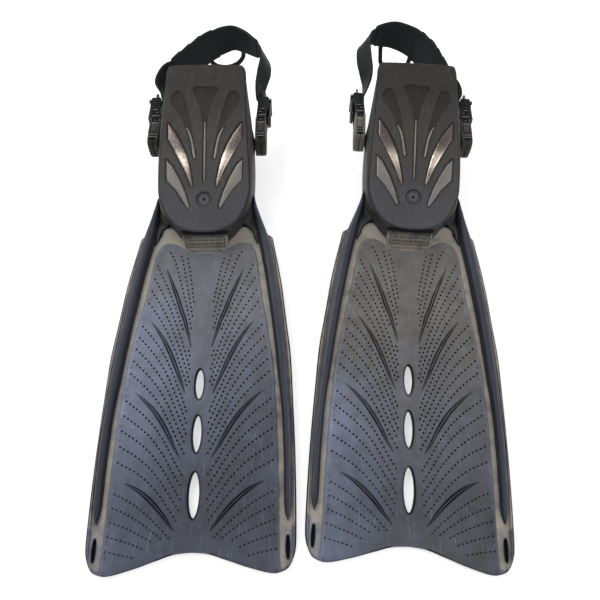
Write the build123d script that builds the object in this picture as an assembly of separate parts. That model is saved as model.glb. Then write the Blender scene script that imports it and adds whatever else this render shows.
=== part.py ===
from build123d import *
import math
import os

# A pair of open-heel swim fins, lying sole side up on a floor, heel straps fitted.
# Each fin is designed in its own frame: x across (x > 0 faces the other fin on the
# left fin), y towards the heel with y = 0 at the blade's wing corners, z up (sole
# side), z = 0 on the blade's sole-side face. The right fin is the mirror image.
# "Inner" pieces are at x > 0, "outer" ones at x < 0. Millimetres and degrees.

# ---------------------------------------------------------------- the pair on the floor
SPACING = 136.0          # half the distance between the two fins' own axes
STAGGER = 12.0           # the right fin lies this much further towards the heel
YAW = 2.595              # each fin is toed in by this angle
REST_TILT = 2.97         # heel side raised as the fin rests
REST_LIFT = 27.256       # height of the fin's own origin over the floor
PAIR_Y = 29.291          # centres the pair's bounding box on the origin

# ---------------------------------------------------------------- driving dimensions
BLADE_T = 6.0            # blade thickness
RIB_H = 1.4              # crease rib height over the blade face
RIB_W = 4.4              # crease rib width at its middle
RIB_ROOT = 0.5           # depth the ribs reach into the blade
PLATE_T = 4.0            # rubber sole plate thickness
INSERT_DEPTH = 2.0       # depth of the seats for the inlaid sole inserts
INSERT_SINK = 0.3        # insert faces lie this far below the plate surface
RECESS_DEPTH = 0.7       # open recesses in the sole plate
BED_T = 8.0              # foot bed under the sole plate
PLUG_Y, PLUG_R, PLUG_HOLE_R = 33.0, 9.0, 1.5

POCKET_LEAN = 11.5       # the pocket's cross sections rise towards the heel
SECTION_Y = 110.0        # where those cross sections are given
SECTION_Y0 = -60.0       # start of their sweep
SWEEP_LENGTH = 330.0

# strap studs and caps: x values are distances from the fin's middle
STUD_Y, STUD_Z = 128.0, 30.0     # stud axis, runs across the fin
STUD_R, STUD_BORE_R = 5.0, 5.05
BOSS_R, BOSS_X0, BOSS_X1 = 10.0, 58.0, 65.9
FLANGE_R, FLANGE_X0, FLANGE_X1 = 8.0, 57.5, 59.5
STUD_X1 = 72.0                   # outer end of the stud, where the cap's head sits
STEM_R, STEM_X0 = 2.5, 62.0      # cap stem and its hole in the stud
CAP_R, CAP_X1, CAP_CHAMFER = 8.2, 77.5, 1.5
COUNTERBORE_R = 8.6

# buckle: u runs along it towards the heel, w across it towards the sole side,
# both in the y-z plane and measured from the stud axis
BUCKLE_TILT = -9.0               # buckle axis falls towards the heel
BUCKLE_W = 16.5                  # half width
SLIDE_GAP = 0.3                  # clearance of the parts sliding in the base
BASE_U0, BASE_U1, BASE_CORNER_R = -12.0, 28.0, 10.0
BASE_X0, BASE_X1 = 66.0, 81.0
CAVITY_X0, CAVITY_X1, CAVITY_W, CAVITY_U0 = 69.3, 77.7, 15.0, 7.0
BRIDGE_U = 23.5                  # heel end of the base's side windows
SLIDE_X0, SLIDE_X1 = CAVITY_X0 + SLIDE_GAP, CAVITY_X1 - SLIDE_GAP
CATCH_U = 10.5                   # toe end of the tongue and of the prongs' outer edges
TONGUE_W = 5.0
CLIP_U0, CLIP_U1 = 36.0, 42.0    # clip cross bar
CLIP_X0, CLIP_X1, CLIP_ARM_T = 67.0, 81.0, 3.5
FRAME_U1, BLOCK_U1 = 60.0, 80.0
BLOCK_X0, BLOCK_X1 = 71.0, 84.0
EAR_HALF_U, EAR_W, EAR_T, EAR_X1 = 3.0, 14.0, 3.6, 88.2
PRONG_U, PRONG_W, PRONG_R = 33.4, 11.6, 2.5        # rounded root of each prong
ROLLER_U, ROLLER_X, ROLLER_R, ROLLER_W = 52.0, 74.0, 3.0, 12.9
JOURNAL_R, JOURNAL_W = 1.6, 15.0
LEVER_U, LEVER_X, LEVER_PIN_R, LEVER_BORE_R = 76.0, 86.2, 0.8, 0.85
LEVER_U0, LEVER_W, LEVER_BARREL_R = 42.0, 10.0, 1.9

STRAP_W, STRAP_T = 25.0, 3.0
STRAP_CLEARANCE = 0.3
STRAP_OFFSET = ROLLER_R + 0.1 + STRAP_T / 2        # strap centre line from roller axis
PAD_T = 6.5
LOOP_SIZE = 5.0                      # square section of the loop on the heel pad
EXIT_U, TAIL_U = 84.0, 98.0          # where the strap leaves the block, and its free ends
STEPS = 5                            # strap sections per span between stations

# ---------------------------------------------------------------- half outlines (x, y)
BLADE = [(64, 56), (67, 45), (71, 33), (76, 20), (81, 8), (86, 0), (89, -7), (92, -21),
         (94.5, -36), (97, -50), (101.5, -80), (104.5, -108), (107.5, -135), (110.5, -161),
         (112, -186), (112.8, -211), (114, -247), (114.6, -270), (115, -292), (115.2, -314),
         (115.2, -335), (115, -356), (114.6, -376), (113.5, -388), (110, -398),
         (105, -405.5), (97, -409), (90, -410), (80, -408.5), (66.5, -405), (56, -402),
         (45.5, -398.5), (34.5, -395), (24, -391.5), (13.5, -389.5), (0, -388.5)]
POCKET = [(0, -22), (27, -21), (31, -8), (36.5, -3), (42.5, 8), (51, 14), (59, 9), (64, 1),
          (66.5, 4.6), (61, 33), (62.5, 45), (63.4, 57), (64, 75), (64, 100), (63.5, 120),
          (62.5, 140), (60.5, 160), (58, 180), (55.5, 200), (53.8, 215), (52, 222.5),
          (46, 225), (0, 226)]
CAVITY = [(0, 6), (15, 7), (30, 12), (42, 22), (50, 36), (54.5, 52), (56, 75), (56, 100),
          (55.5, 120), (54, 140), (52, 160), (50, 180), (48, 200), (46.5, 215), (46, 250)]
PLATE = [(0, -8), (12, -7.5), (24, -5), (34, 0), (43, 8), (50, 19), (55, 31), (58, 43),
         (58.7, 52), (58.3, 70), (57.5, 90), (56.5, 110), (55.5, 130), (54.6, 150),
         (53.8, 170), (53, 190), (52.5, 205), (52.2, 216), (50.5, 220.5), (46, 223),
         (30, 224.3), (0, 225)]
CENTRE_STRIP = [(0.9, 57), (1.5, 108), (0.9, 113)]
TRI_RECESS = [(2, 116), (3, 134.6), (5.5, 152), (11.3, 171), (17.3, 188.7)]

# side rail in plan (x, y): its two edges, together a closed outline
RAIL_IN = [(63.4, 57), (62.5, 45), (61, 33), (67, 2), (73, -29), (78, -58), (82, -86.5),
           (86, -114.5), (89, -141), (92, -167), (94.5, -195), (97.5, -220), (99.5, -246),
           (100.5, -278), (101, -300), (101, -340), (101.5, -351), (104, -358)]
RAIL_OUT = [(107, -358), (109.5, -353), (110.5, -340), (111, -320), (111.2, -295),
            (111, -271), (110, -247), (109, -226), (108.3, -207), (107.3, -189),
            (105.5, -165), (103.7, -145), (101.5, -123), (99, -100), (96, -78),
            (93, -57), (90.5, -36), (87.5, -20), (84, -5), (79.5, 8), (74.5, 20),
            (69.5, 33), (66, 45)]

# ---------------------------------------------------------------- side profiles (y, z)
RAIL_TOP = [(-360, 3.5), (-340, 5.5), (-200, 7), (-60, 9), (-20, 10), (4, 13), (30, 22),
            (60, 33)]
RAIL_BOTTOM = [(60, -22), (20, -17), (-50, -14), (-200, -11.5), (-340, -8), (-360, -5.5)]
SOLE = [(-34, 20.6), (-8, 28.3), (20, 35.8), (50, 43.4), (90, 52.8), (120, 59.3),
        (150, 65.4), (186, 72.1), (232, 79.6)]          # sole plate surface
POCKET_TOE = [(-22, 0.0), (-9, 24.0)]
INSTEP = [(-22, -6), (-4, -8), (10, -17), (40, -22), (80, -29), (110, -33), (130, -34)]
WALL = [(136, -30), (146, -14), (160, 10), (180, 34), (205, 50), (232, 58)]  # side wall edge
HOLLOW_TOE = [(6, -8), (5, 19.5)]
HOLLOW_BOTTOM = [(250, 60), (250, -80), (131, -80), (131, -28), (110, -27), (80, -23),
                 (40, -16)]

# pocket half cross sections (x, z), outside and inside
POCKET_SECTION = [(0, 80), (44, 72), (58.5, 55), (64, 41), (67, -8), (60, -24), (47, -35),
                  (0, -60)]
HOLLOW_SECTION = [(0, 60), (50, 42), (57, 32), (57, -9), (50, -21), (36, -30), (0, -56)]

# ---------------------------------------------------------------- blade details
# centre lines (x, y) of the curved ribs; each has a mirror image
RIBS = [[(51, -48), (46, -60), (40, -75), (34, -90), (29, -105), (23, -120), (19, -134),
         (14.5, -150), (12.5, -158)],
        [(65, -122.5), (58, -131), (50, -142.5), (43.5, -153.5), (37.5, -165), (32, -177),
         (27.5, -188), (23, -199), (18, -211), (16, -217)],
        [(77, -212), (68, -219.5), (59, -228), (51, -236.5), (43.5, -246.5), (37, -256.5),
         (31, -267), (25.5, -277.5), (20, -286.5), (17.5, -290.5)],
        [(79.5, -315.5), (70.5, -319.5), (61, -325), (53, -331), (45.5, -337.5), (38, -345),
         (31.5, -352.5), (25.5, -360), (20.5, -365.5), (19, -368)]]
# round-ended slots through the blade: x, y, length along y, half width
TIP_X, TIP_Y, TIP_LENGTH, TIP_HALF = 105.2, -384.5, 23.0, 1.8
SLOTS = [(0, -203, 36, 5.0), (0, -262, 42, 5.0), (0, -329.5, 49, 6.0),
         (TIP_X, TIP_Y, TIP_LENGTH, TIP_HALF), (-TIP_X, TIP_Y, TIP_LENGTH, TIP_HALF)]

# ---------------------------------------------------------------- sole outlines (x, y)
# closed outlines; each has a mirror image
UPPER_INSERT = [(48.6, 115.5), (36, 93), (26.2, 74.5), (18.8, 56), (16.2, 49.8), (15.8, 54),
                (19.3, 73), (23.8, 90.5), (30.6, 108), (38.7, 123), (46.5, 133.5),
                (49.1, 138)]
LOWER_INSERT = [(50.7, 87.3), (49.6, 58.5), (37, 45.2), (22, 22), (19.6, 21.6), (19.2, 25.5),
                (25, 43.8), (32.7, 61.5), (42.6, 79.3)]
SIDE_STRIP = [(11.2, 88.4), (15.2, 88.4), (17.5, 104), (16.2, 108), (14.2, 108), (12.4, 100)]
LEAF_RECESS = [(40.8, 183.5), (47.2, 174), (44, 163), (36.4, 152.5), (28.8, 139), (22.8, 124),
               (18.6, 110.5), (14.0, 110.5), (15.6, 120.5), (20, 141.7), (25.6, 163.5),
               (32, 182)]

# ---------------------------------------------------------------- strap stations
# Both straps in the left fin's hand: centre (x, y, z), direction of the sole-side edge.
# These are stations 1 onwards; the first and last of all are the buckle exits.
STRAP_RUN = {
    "left": [((-70.2, 223.0, 20.5), (-0.18, 0.03, 0.98)),
             ((-73.7, 240.0, 27.0), (-0.60, 0.05, 0.80)),
             ((-65.3, 259.8, 30.0), (-0.52, 0.25, 0.82)),
             ((-50.8, 270.5, 29.0), (-0.42, 0.38, 0.82)),
             ((-29.3, 290.3, 28.0), (-0.28, 0.38, 0.88)),
             ((-8.0, 313.0, 27.0), (-0.15, 0.38, 0.91)),
             ((23.6, 330.8, 27.0), (0.00, 0.38, 0.92)),
             ((43.5, 323.1, 29.0), (0.12, 0.33, 0.94)),
             ((56.5, 310.2, 32.0), (0.15, 0.20, 0.97)),
             ((69.9, 295.6, 36.0), (-0.10, 0.10, 0.99)),
             ((77.1, 284.0, 39.0), (-0.40, 0.00, 0.92)),
             ((79.5, 266.3, 40.0), (-0.58, 0.00, 0.81)),
             ((77.3, 249.1, 38.0), (-0.72, -0.05, 0.69)),
             ((72.7, 232.2, 31.0), (-0.50, -0.08, 0.86))],
    "right": [((-69.8, 219.5, 20.0), (-0.05, 0.03, 0.99)),
              ((-64.9, 230.3, 27.0), (-0.30, 0.05, 0.95)),
              ((-54.0, 243.0, 31.0), (-0.40, 0.25, 0.88)),
              ((-45.5, 257.2, 31.0), (-0.42, 0.35, 0.84)),
              ((-34.8, 274.8, 29.0), (-0.33, 0.38, 0.87)),
              ((-24.4, 296.4, 28.0), (-0.20, 0.38, 0.90)),
              ((-5.0, 319.9, 27.0), (-0.08, 0.38, 0.92)),
              ((22.3, 333.7, 27.0), (0.05, 0.38, 0.92)),
              ((42.8, 330.5, 29.0), (0.10, 0.33, 0.94)),
              ((56.6, 321.5, 33.0), (0.00, 0.20, 0.98)),
              ((67.5, 309.0, 38.0), (-0.45, 0.10, 0.88)),
              ((71.9, 290.4, 41.0), (-0.75, 0.00, 0.66)),
              ((70.8, 266.7, 41.0), (-0.82, 0.00, 0.57)),
              ((67.2, 246.8, 38.0), (-0.70, -0.05, 0.70)),
              ((65.8, 230.0, 30.0), (-0.35, -0.06, 0.93))]}
# heel pad: where it starts and ends, in stations, and its half width at each station
PAD_SPAN = {"left": (3.6, 9.8), "right": (3.8, 9.8)}
PAD_HALF = {"left": {3: 14.0, 4: 16.5, 5: 20.0, 6: 21.0, 7: 18.5, 8: 16.5, 9: 14.8, 10: 14.0},
            "right": {3: 14.0, 4: 15.0, 5: 19.0, 6: 21.0, 7: 21.0, 8: 20.0, 9: 17.0, 10: 14.2}}
# centre line (x, y, z) of the loop on the heel pad
LOOP = {"left": [(-6.0, 311.5, 17), (-6.5, 305.8, 7), (1.3, 302.1, 1), (16.3, 304.2, -4),
                 (31.2, 309.0, -3), (40.5, 314.0, 3), (43.5, 317.5, 10), (42.5, 321.0, 19)],
        "right": [(43.0, 328.0, 20), (43.2, 324.0, 10), (42.4, 317.0, 3), (41.0, 306.9, -2),
                  (33.4, 298.0, -6), (19.0, 295.9, -7), (5.4, 299.1, -4), (-1.8, 306.0, 4),
                  (-4.0, 316.5, 15)]}


# ---------------------------------------------------------------- outlines
def flip(outline):
    return [(-x, y) for x, y in reversed(outline)]


def ring(half):
    """Closed outline from a half outline given for x >= 0."""
    return half + flip([(x, y) for x, y in half if x > 1e-9])


def raised(profile, dz):
    return [(y, z + dz) for y, z in profile]


def slot_outline(x, y, length, half):
    """Round-ended slot along y."""
    points = []
    for start, end in ((0, 1), (math.pi, -1)):
        for k in range(13):
            a = start + math.pi * k / 12
            points.append((x + half * math.cos(a),
                           y + end * (length / 2 - half) + half * math.sin(a)))
    return points


def crescent(points, width):
    """Outline round a centre line, full width in the middle and narrow at its ends."""
    left, right = [], []
    last = len(points) - 1
    for i, (x, y) in enumerate(points):
        x0, y0 = points[max(i - 1, 0)]
        x1, y1 = points[min(i + 1, last)]
        length = math.hypot(x1 - x0, y1 - y0)
        half = width / 2 * math.sin(math.pi * (0.04 + 0.92 * i / last))
        dx, dy = -(y1 - y0) / length * half, (x1 - x0) / length * half
        left.append((x + dx, y + dy))
        right.append((x - dx, y - dy))
    return left + right[::-1]


# ---------------------------------------------------------------- solids
def prism(points, vector):
    face = Face(Wire.make_polygon([Vector(*p) for p in points], close=True))
    return Solid.extrude(face, Vector(*vector))


def plan(outline, z0, z1):
    return prism([(x, y, z0) for x, y in outline], (0, 0, z1 - z0))


def side(outline, x0, x1):
    return prism([(x0, y, z) for y, z in outline], (x1 - x0, 0, 0))


def band(low, high):
    """Layer of the sole between two offsets from its surface, wider than the fin."""
    return side(raised(SOLE, low) + raised(SOLE, high)[::-1], -130, 130)


def leaning(half_section):
    """Cross section swept towards the heel along the pocket's lean."""
    lean = math.radians(POCKET_LEAN)
    drop = (SECTION_Y - SECTION_Y0) * math.tan(lean)
    return prism([(x, SECTION_Y0, z - drop) for x, z in ring(half_section)],
                 (0, SWEEP_LENGTH * math.cos(lean), SWEEP_LENGTH * math.sin(lean)))


def rod(origin, axis, radius, length):
    circle = Face(Wire.make_circle(radius, Plane(origin=origin, z_dir=axis)))
    return Solid.extrude(circle, Vector(*axis) * length)


def stud_rod(radius, x0, x1):
    """Cylinder on the stud axis."""
    return rod((x0, STUD_Y, STUD_Z), (1, 0, 0), radius, x1 - x0)


def one(shape):
    """The largest solid of a result."""
    return sorted(shape.solids(), key=lambda s: -s.volume)[0]


def cut(shape, *tools):
    for tool in tools:
        shape = shape - tool
    return one(shape)


def both(a, b):
    return one(a & b)


def join(*shapes):
    out = shapes[0]
    for shape in shapes[1:]:
        out = out + shape
    return one(out)


def mirrored(shape):
    return shape.mirror(Plane.YZ)


# ---------------------------------------------------------------- blade and foot pocket
def make_rail():
    return both(plan(RAIL_IN + RAIL_OUT, -30, 50), side(RAIL_TOP + RAIL_BOTTOM, 50, 130))


def make_pocket():
    """The foot pocket, and its outer form without the hollow."""
    sole = [(y, z) for y, z in raised(SOLE, -PLATE_T) if y > -8]
    profile = POCKET_TOE + sole + WALL[::-1] + INSTEP[::-1]
    outer = both(both(plan(ring(POCKET), -60, 100), side(profile, -80, 80)),
                 leaning(POCKET_SECTION))

    bed = [(y, z) for y, z in raised(SOLE, -PLATE_T - BED_T) if y > 6]
    hollow = both(plan(ring(CAVITY), -90, 100),
                  side(HOLLOW_TOE + bed + HOLLOW_BOTTOM, -80, 80))
    # towards the heel the hollow keeps its full width below the foot
    below = plan([(-70, 131), (70, 131), (70, 260), (-70, 260)], -90, -5)
    hollow = join(both(hollow, leaning(HOLLOW_SECTION)), both(hollow, below))

    pocket = join(outer - hollow, *[stud_rod(BOSS_R, s * BOSS_X0, s * BOSS_X1) for s in (1, -1)])
    for s in (1, -1):
        pocket = cut(pocket,
                     stud_rod(FLANGE_R, s * FLANGE_X0, s * FLANGE_X1),
                     stud_rod(STUD_R, s * (FLANGE_X1 - 0.5), s * 66.5))
    return pocket, outer


def make_blade(pocket_form, rails):
    toe_gap = plan([(-27, -23), (27, -23), (27, 60), (-27, 60)], -BLADE_T - 1, 1)
    blade = cut(plan(ring(BLADE), -BLADE_T, 0), pocket_form, *rails, toe_gap)
    for slot in SLOTS:
        blade = cut(blade, plan(slot_outline(*slot), -10, 5))
    for centre_line in RIBS:
        outline = crescent(centre_line, RIB_W)
        for rib in (outline, flip(outline)):
            blade = join(blade, plan(rib, -RIB_ROOT, RIB_H))
    return blade


# ---------------------------------------------------------------- sole plate and inlays
def make_sole():
    inlay = band(-INSERT_DEPTH, -INSERT_SINK)
    seat = band(-INSERT_DEPTH, 5)
    recess = band(-RECESS_DEPTH, 5)
    sets = {
        "upper_sole_inserts": [UPPER_INSERT, flip(UPPER_INSERT)],
        "lower_sole_inserts": [LOWER_INSERT, flip(LOWER_INSERT)],
        "sole_strips": [SIDE_STRIP, flip(SIDE_STRIP), ring(CENTRE_STRIP)],
    }

    def plug_rod(radius):
        return rod((0, PLUG_Y, 20), (0, 0, 1), radius, 40)

    disc = plug_rod(PLUG_R)
    nodes = {"sole_plug": cut(both(disc, inlay), plug_rod(PLUG_HOLE_R))}
    plate = both(plan(ring(PLATE), 0, 100), band(-PLATE_T, 0))
    plate = cut(plate, both(disc, seat))
    for name, outlines in sets.items():
        nodes[name] = Compound(children=[both(plan(o, 0, 100), inlay) for o in outlines])
        plate = cut(plate, *[both(plan(o, 0, 100), seat) for o in outlines])
    for outline in (ring(TRI_RECESS), LEAF_RECESS, flip(LEAF_RECESS)):
        plate = cut(plate, both(plan(outline, 0, 100), recess))
    nodes["sole_plate"] = plate
    return nodes


# ---------------------------------------------------------------- studs, s = 1 or -1 for x
def make_stud(s):
    flange = stud_rod(FLANGE_R, s * FLANGE_X0, s * FLANGE_X1)
    shank = stud_rod(STUD_R, s * FLANGE_X1, s * STUD_X1)
    return cut(join(flange, shank), stud_rod(STEM_R, s * STEM_X0, s * (STUD_X1 + 1)))


def make_cap(s):
    head = stud_rod(CAP_R, s * STUD_X1, s * CAP_X1)
    rim = [e for e in head.edges() if abs(e.center().X) > CAP_X1 - 0.5]
    head = head.chamfer(CAP_CHAMFER, None, rim)
    return join(head, stud_rod(STEM_R, s * STEM_X0, s * STUD_X1))


# ---------------------------------------------------------------- buckle (made at x > 0)
TILT_COS = math.cos(math.radians(BUCKLE_TILT))
TILT_SIN = math.sin(math.radians(BUCKLE_TILT))
BUCKLE_UP = (0, -TILT_SIN, TILT_COS)       # the w direction


def buckle_point(u, w):
    """The (y, z) of a point in the buckle's own frame."""
    return STUD_Y + u * TILT_COS - w * TILT_SIN, STUD_Z + u * TILT_SIN + w * TILT_COS


def slab(outline, x0, x1):
    """Prism across the fin from a (u, w) outline."""
    return side([buckle_point(u, w) for u, w in outline], x0, x1)


def block(u0, u1, w0, w1, x0, x1):
    return slab([(u0, w0), (u1, w0), (u1, w1), (u0, w1)], x0, x1)


def rod_x(u, w, radius, x0, x1):
    return rod((x0, *buckle_point(u, w)), (1, 0, 0), radius, x1 - x0)


def rod_w(u, x, radius, half):
    """Cylinder across the buckle, reaching half to either side of its middle."""
    return rod((x, *buckle_point(u, -half)), BUCKLE_UP, radius, 2 * half)


def make_base():
    r = BASE_CORNER_R
    toe = []
    for corner_w, start in ((r - BUCKLE_W, -90), (BUCKLE_W - r, 180)):
        for k in range(9):
            a = math.radians(start - 90 * k / 8)
            toe.append((BASE_U0 + r + r * math.cos(a), corner_w + r * math.sin(a)))
    body = slab([(BASE_U1, -BUCKLE_W)] + toe + [(BASE_U1, BUCKLE_W)], BASE_X0, BASE_X1)
    windows = [block(CAVITY_U0, BRIDGE_U, w0, w1, CAVITY_X0, CAVITY_X1)
               for w0, w1 in ((-20, 0.5 - CAVITY_W), (CAVITY_W - 0.5, 20))]
    return cut(body,
               rod_x(0, 0, STUD_BORE_R, BASE_X0 - 1, STUD_X1 + 0.5),
               rod_x(0, 0, COUNTERBORE_R, STUD_X1, BASE_X1 + 1),
               block(CAVITY_U0, BASE_U1 + 1, -CAVITY_W, CAVITY_W, CAVITY_X0, CAVITY_X1),
               *windows)


def make_clip():
    tongue = block(CATCH_U, CLIP_U0 + 1, -TONGUE_W, TONGUE_W, SLIDE_X0, SLIDE_X1)
    bar = block(CLIP_U0, CLIP_U1, -BUCKLE_W, BUCKLE_W, CLIP_X0, CLIP_X1)
    arms = [block(CLIP_U1 - 1, FRAME_U1 + 1, w0, w0 + CLIP_ARM_T, CLIP_X0, CLIP_X1)
            for w0 in (-BUCKLE_W, BUCKLE_W - CLIP_ARM_T)]
    heel_block = block(FRAME_U1, BLOCK_U1, -BUCKLE_W, BUCKLE_W, BLOCK_X0, BLOCK_X1)
    ears = [block(LEVER_U - EAR_HALF_U, LEVER_U + EAR_HALF_U, w0, w0 + EAR_T,
                  BLOCK_X1 - 1, EAR_X1)
            for w0 in (-EAR_W, EAR_W - EAR_T)]
    strap_x = ROLLER_X + STRAP_OFFSET
    slot_x = STRAP_T / 2 + STRAP_CLEARANCE
    slot_w = STRAP_W / 2 + STRAP_CLEARANCE
    return cut(join(bar, tongue, *arms, heel_block, *ears),
               block(FRAME_U1 - 1, BLOCK_U1 + 1, -slot_w, slot_w,
                     strap_x - slot_x, strap_x + slot_x),
               rod_w(ROLLER_U, ROLLER_X, JOURNAL_R, JOURNAL_W),
               rod_w(LEVER_U, LEVER_X, LEVER_PIN_R, EAR_W + 1))


def make_roller():
    return join(rod_w(ROLLER_U, ROLLER_X, ROLLER_R, ROLLER_W),
                rod_w(ROLLER_U, ROLLER_X, JOURNAL_R, JOURNAL_W))


def make_prong(s):
    """Release prong on the sole side (s = 1) or the other side (s = -1) of the buckle."""
    outline = [(PRONG_U, PRONG_W - PRONG_R), (PRONG_U, PRONG_W + PRONG_R),
               (BRIDGE_U - SLIDE_GAP, 14.7), (BRIDGE_U - SLIDE_GAP, BUCKLE_W),
               (CATCH_U, BUCKLE_W), (CAVITY_U0 + 0.4, 13.5), (CAVITY_U0 + 0.4, 10.4),
               (20, 9.4)]
    arm = slab([(u, s * w) for u, w in outline], SLIDE_X0, SLIDE_X1)
    return join(arm, rod_x(PRONG_U, s * PRONG_W, PRONG_R, SLIDE_X0, SLIDE_X1))


def make_lever():
    plate = block(LEVER_U0, LEVER_U, -LEVER_W, LEVER_W, 84.3, 86.9)
    tip = block(LEVER_U0, LEVER_U0 + 4, -LEVER_W, LEVER_W, 82.6, 84.4)
    barrel = rod_w(LEVER_U, LEVER_X, LEVER_BARREL_R, LEVER_W)
    return cut(join(plate, tip, barrel),
               rod_w(LEVER_U, LEVER_X, LEVER_BORE_R, LEVER_W + 1))


def make_lever_pin():
    return rod_w(LEVER_U, LEVER_X, LEVER_PIN_R, EAR_W)


# ---------------------------------------------------------------- ribbons
# A line is a list of (centre, direction of the sole-side edge) vector pairs.
def spine(stations):
    """Catmull-Rom line through the stations, STEPS points a span."""
    line = []
    last = len(stations) - 1
    for i in range(last):
        a, b, c, d = (stations[min(max(j, 0), last)][0] for j in range(i - 1, i + 3))
        up0, up1 = stations[i][1], stations[i + 1][1]
        for k in range(STEPS):
            t = k / STEPS
            centre = (b * 2 + (c - a) * t + (a * 2 - b * 5 + c * 4 - d) * t ** 2
                      + (b * 3 - a - c * 3 + d) * t ** 3) * 0.5
            line.append((centre, (up0 * (1 - t) + up1 * t).normalized()))
    line.append((stations[-1][0], stations[-1][1].normalized()))
    return line


def sections(line, widths, thick):
    """Rectangular section at each point of a line: four corners round the centre."""
    rings = []
    for i, (centre, up) in enumerate(line):
        before = line[max(i - 1, 0)][0]
        after = line[min(i + 1, len(line) - 1)][0]
        along = (after - before).normalized()
        out = along.cross(up).normalized()
        h = out.cross(along).normalized() * (widths[i] / 2)
        t = out * (thick / 2)
        rings.append([centre + h + t, centre + h - t, centre - h - t, centre - h + t])
    return rings


def skin(rings):
    """Quads of the four long sides."""
    return [(r0[k], r0[(k + 1) % 4], r1[(k + 1) % 4], r1[k])
            for r0, r1 in zip(rings, rings[1:]) for k in range(4)]


def faceted(quads):
    """Solid bounded by quads, each split in two triangles; empty triangles are left out."""
    faces = []
    for q in quads:
        for tri in ((q[0], q[1], q[2]), (q[0], q[2], q[3])):
            if (tri[1] - tri[0]).cross(tri[2] - tri[0]).length > 1e-6:
                faces.append(Face(Wire.make_polygon(list(tri), close=True)))
    return Solid(Shell(faces))


def ribbon(rings):
    return faceted(skin(rings) + [rings[0], rings[-1][::-1]])


def sleeve(outer, inner):
    """Closed tube between two runs of sections."""
    quads = skin(outer) + [(q[0], q[3], q[2], q[1]) for q in skin(inner)]
    for o, i in ((outer[0], inner[0]), (outer[-1], inner[-1])):
        for k in range(4):
            quads.append((o[k], o[(k + 1) % 4], i[(k + 1) % 4], i[k]))
    return faceted(quads)


# ---------------------------------------------------------------- strap and heel pad
def buckle_station(s, dx, u):
    """Strap station dx outward of the roller axis, in the buckle at side s."""
    return Vector(s * (ROLLER_X + dx), *buckle_point(u, 0)), Vector(*BUCKLE_UP)


def roller_wrap(s):
    """Strap from its free end round the roller and back through the buckle."""
    mid = STRAP_OFFSET
    line = [buckle_station(s, mid, u) for u in (TAIL_U, 90, 82, 74, 64, 56)]
    for k in range(13):
        a = math.pi * k / 12
        line.append(buckle_station(s, mid * math.cos(a), ROLLER_U - mid * math.sin(a)))
    return line + [buckle_station(s, -mid, u) for u in (58, 66, 75)]


def strap_line(label):
    """Line from the outer tail to the inner tail, and the index of station 0 in it."""
    stations = [(Vector(*centre), Vector(*up)) for centre, up in STRAP_RUN[label]]
    exits = [buckle_station(s, -STRAP_OFFSET, EXIT_U) for s in (-1, 1)]
    run = spine([exits[0]] + stations + [exits[1]])
    outer = roller_wrap(-1)
    return outer + run + roller_wrap(1)[::-1], len(outer)


def pad_width(half, station):
    """Full pad width, interpolated between whole stations."""
    station = min(max(station, min(half)), max(half) - 1e-6)
    k = int(station)
    t = station - k
    return 2 * (half[k] * (1 - t) + half[k + 1] * t)


def make_strap_and_pad(label):
    line, start = strap_line(label)
    count = len(line)
    strap = sections(line, [STRAP_W] * count, STRAP_T)
    widths = [pad_width(PAD_HALF[label], (i - start) / STEPS) for i in range(count)]
    first, last = (start + round(station * STEPS) for station in PAD_SPAN[label])
    covered = slice(first, last + 1)
    pad = sleeve(sections(line, widths, PAD_T)[covered], strap[covered])

    edge = Vector(0, 1, -0.1).normalized()
    loop_line = [(Vector(*p), edge) for p in LOOP[label]]
    loop = ribbon(sections(loop_line, [LOOP_SIZE] * len(loop_line), LOOP_SIZE))
    # the loop stays clear of the strap where it meets the pad
    passage = ribbon(sections(line[covered], [STRAP_W + 2 * STRAP_CLEARANCE] * count,
                              STRAP_T + 2 * STRAP_CLEARANCE))
    return ribbon(strap), join(pad, cut(loop, passage))


# ---------------------------------------------------------------- assembly
def make_common():
    """Every piece that is the same on both fins, by name."""
    pocket, pocket_form = make_pocket()
    rail = make_rail()
    # the rails are moulded against the pocket's flanks
    rails = [cut(r, pocket_form) for r in (rail, mirrored(rail))]
    nodes = {"foot_pocket": pocket, "blade": make_blade(pocket_form, rails), **make_sole()}
    nodes["side_rail_inner"], nodes["side_rail_outer"] = rails
    for name, s in (("inner", 1), ("outer", -1)):
        nodes[f"strap_stud_{name}"] = make_stud(s)
        nodes[f"stud_cap_{name}"] = make_cap(s)
    buckle = {"buckle_base": make_base(), "buckle_clip": make_clip(),
              "strap_roller": make_roller(), "release_prong_upper": make_prong(1),
              "release_prong_lower": make_prong(-1), "tension_lever": make_lever(),
              "lever_pin": make_lever_pin()}
    for name, solid in buckle.items():
        nodes[name + "_inner"] = solid
        nodes[name + "_outer"] = mirrored(solid)
    return nodes


def place(s):
    """Position of the left (s = -1) or right (s = 1) fin on the floor."""
    stagger = STAGGER if s > 0 else 0.0
    return (Pos(s * SPACING, stagger + PAIR_Y, REST_LIFT)
            * Rot(0, 0, -s * YAW) * Rot(REST_TILT, 0, 0))


def main():
    os.makedirs("parts", exist_ok=True)
    common = make_common()
    for label, s in (("left", -1), ("right", 1)):
        strap, pad = make_strap_and_pad(label)
        for name, solid in {**common, "heel_strap": strap, "heel_pad": pad}.items():
            body = place(s) * (mirrored(solid) if s > 0 else solid)
            body.label = f"{label}_{name}"
            export_step(body, f"parts/{label}_{name}.step")


main()
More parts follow.
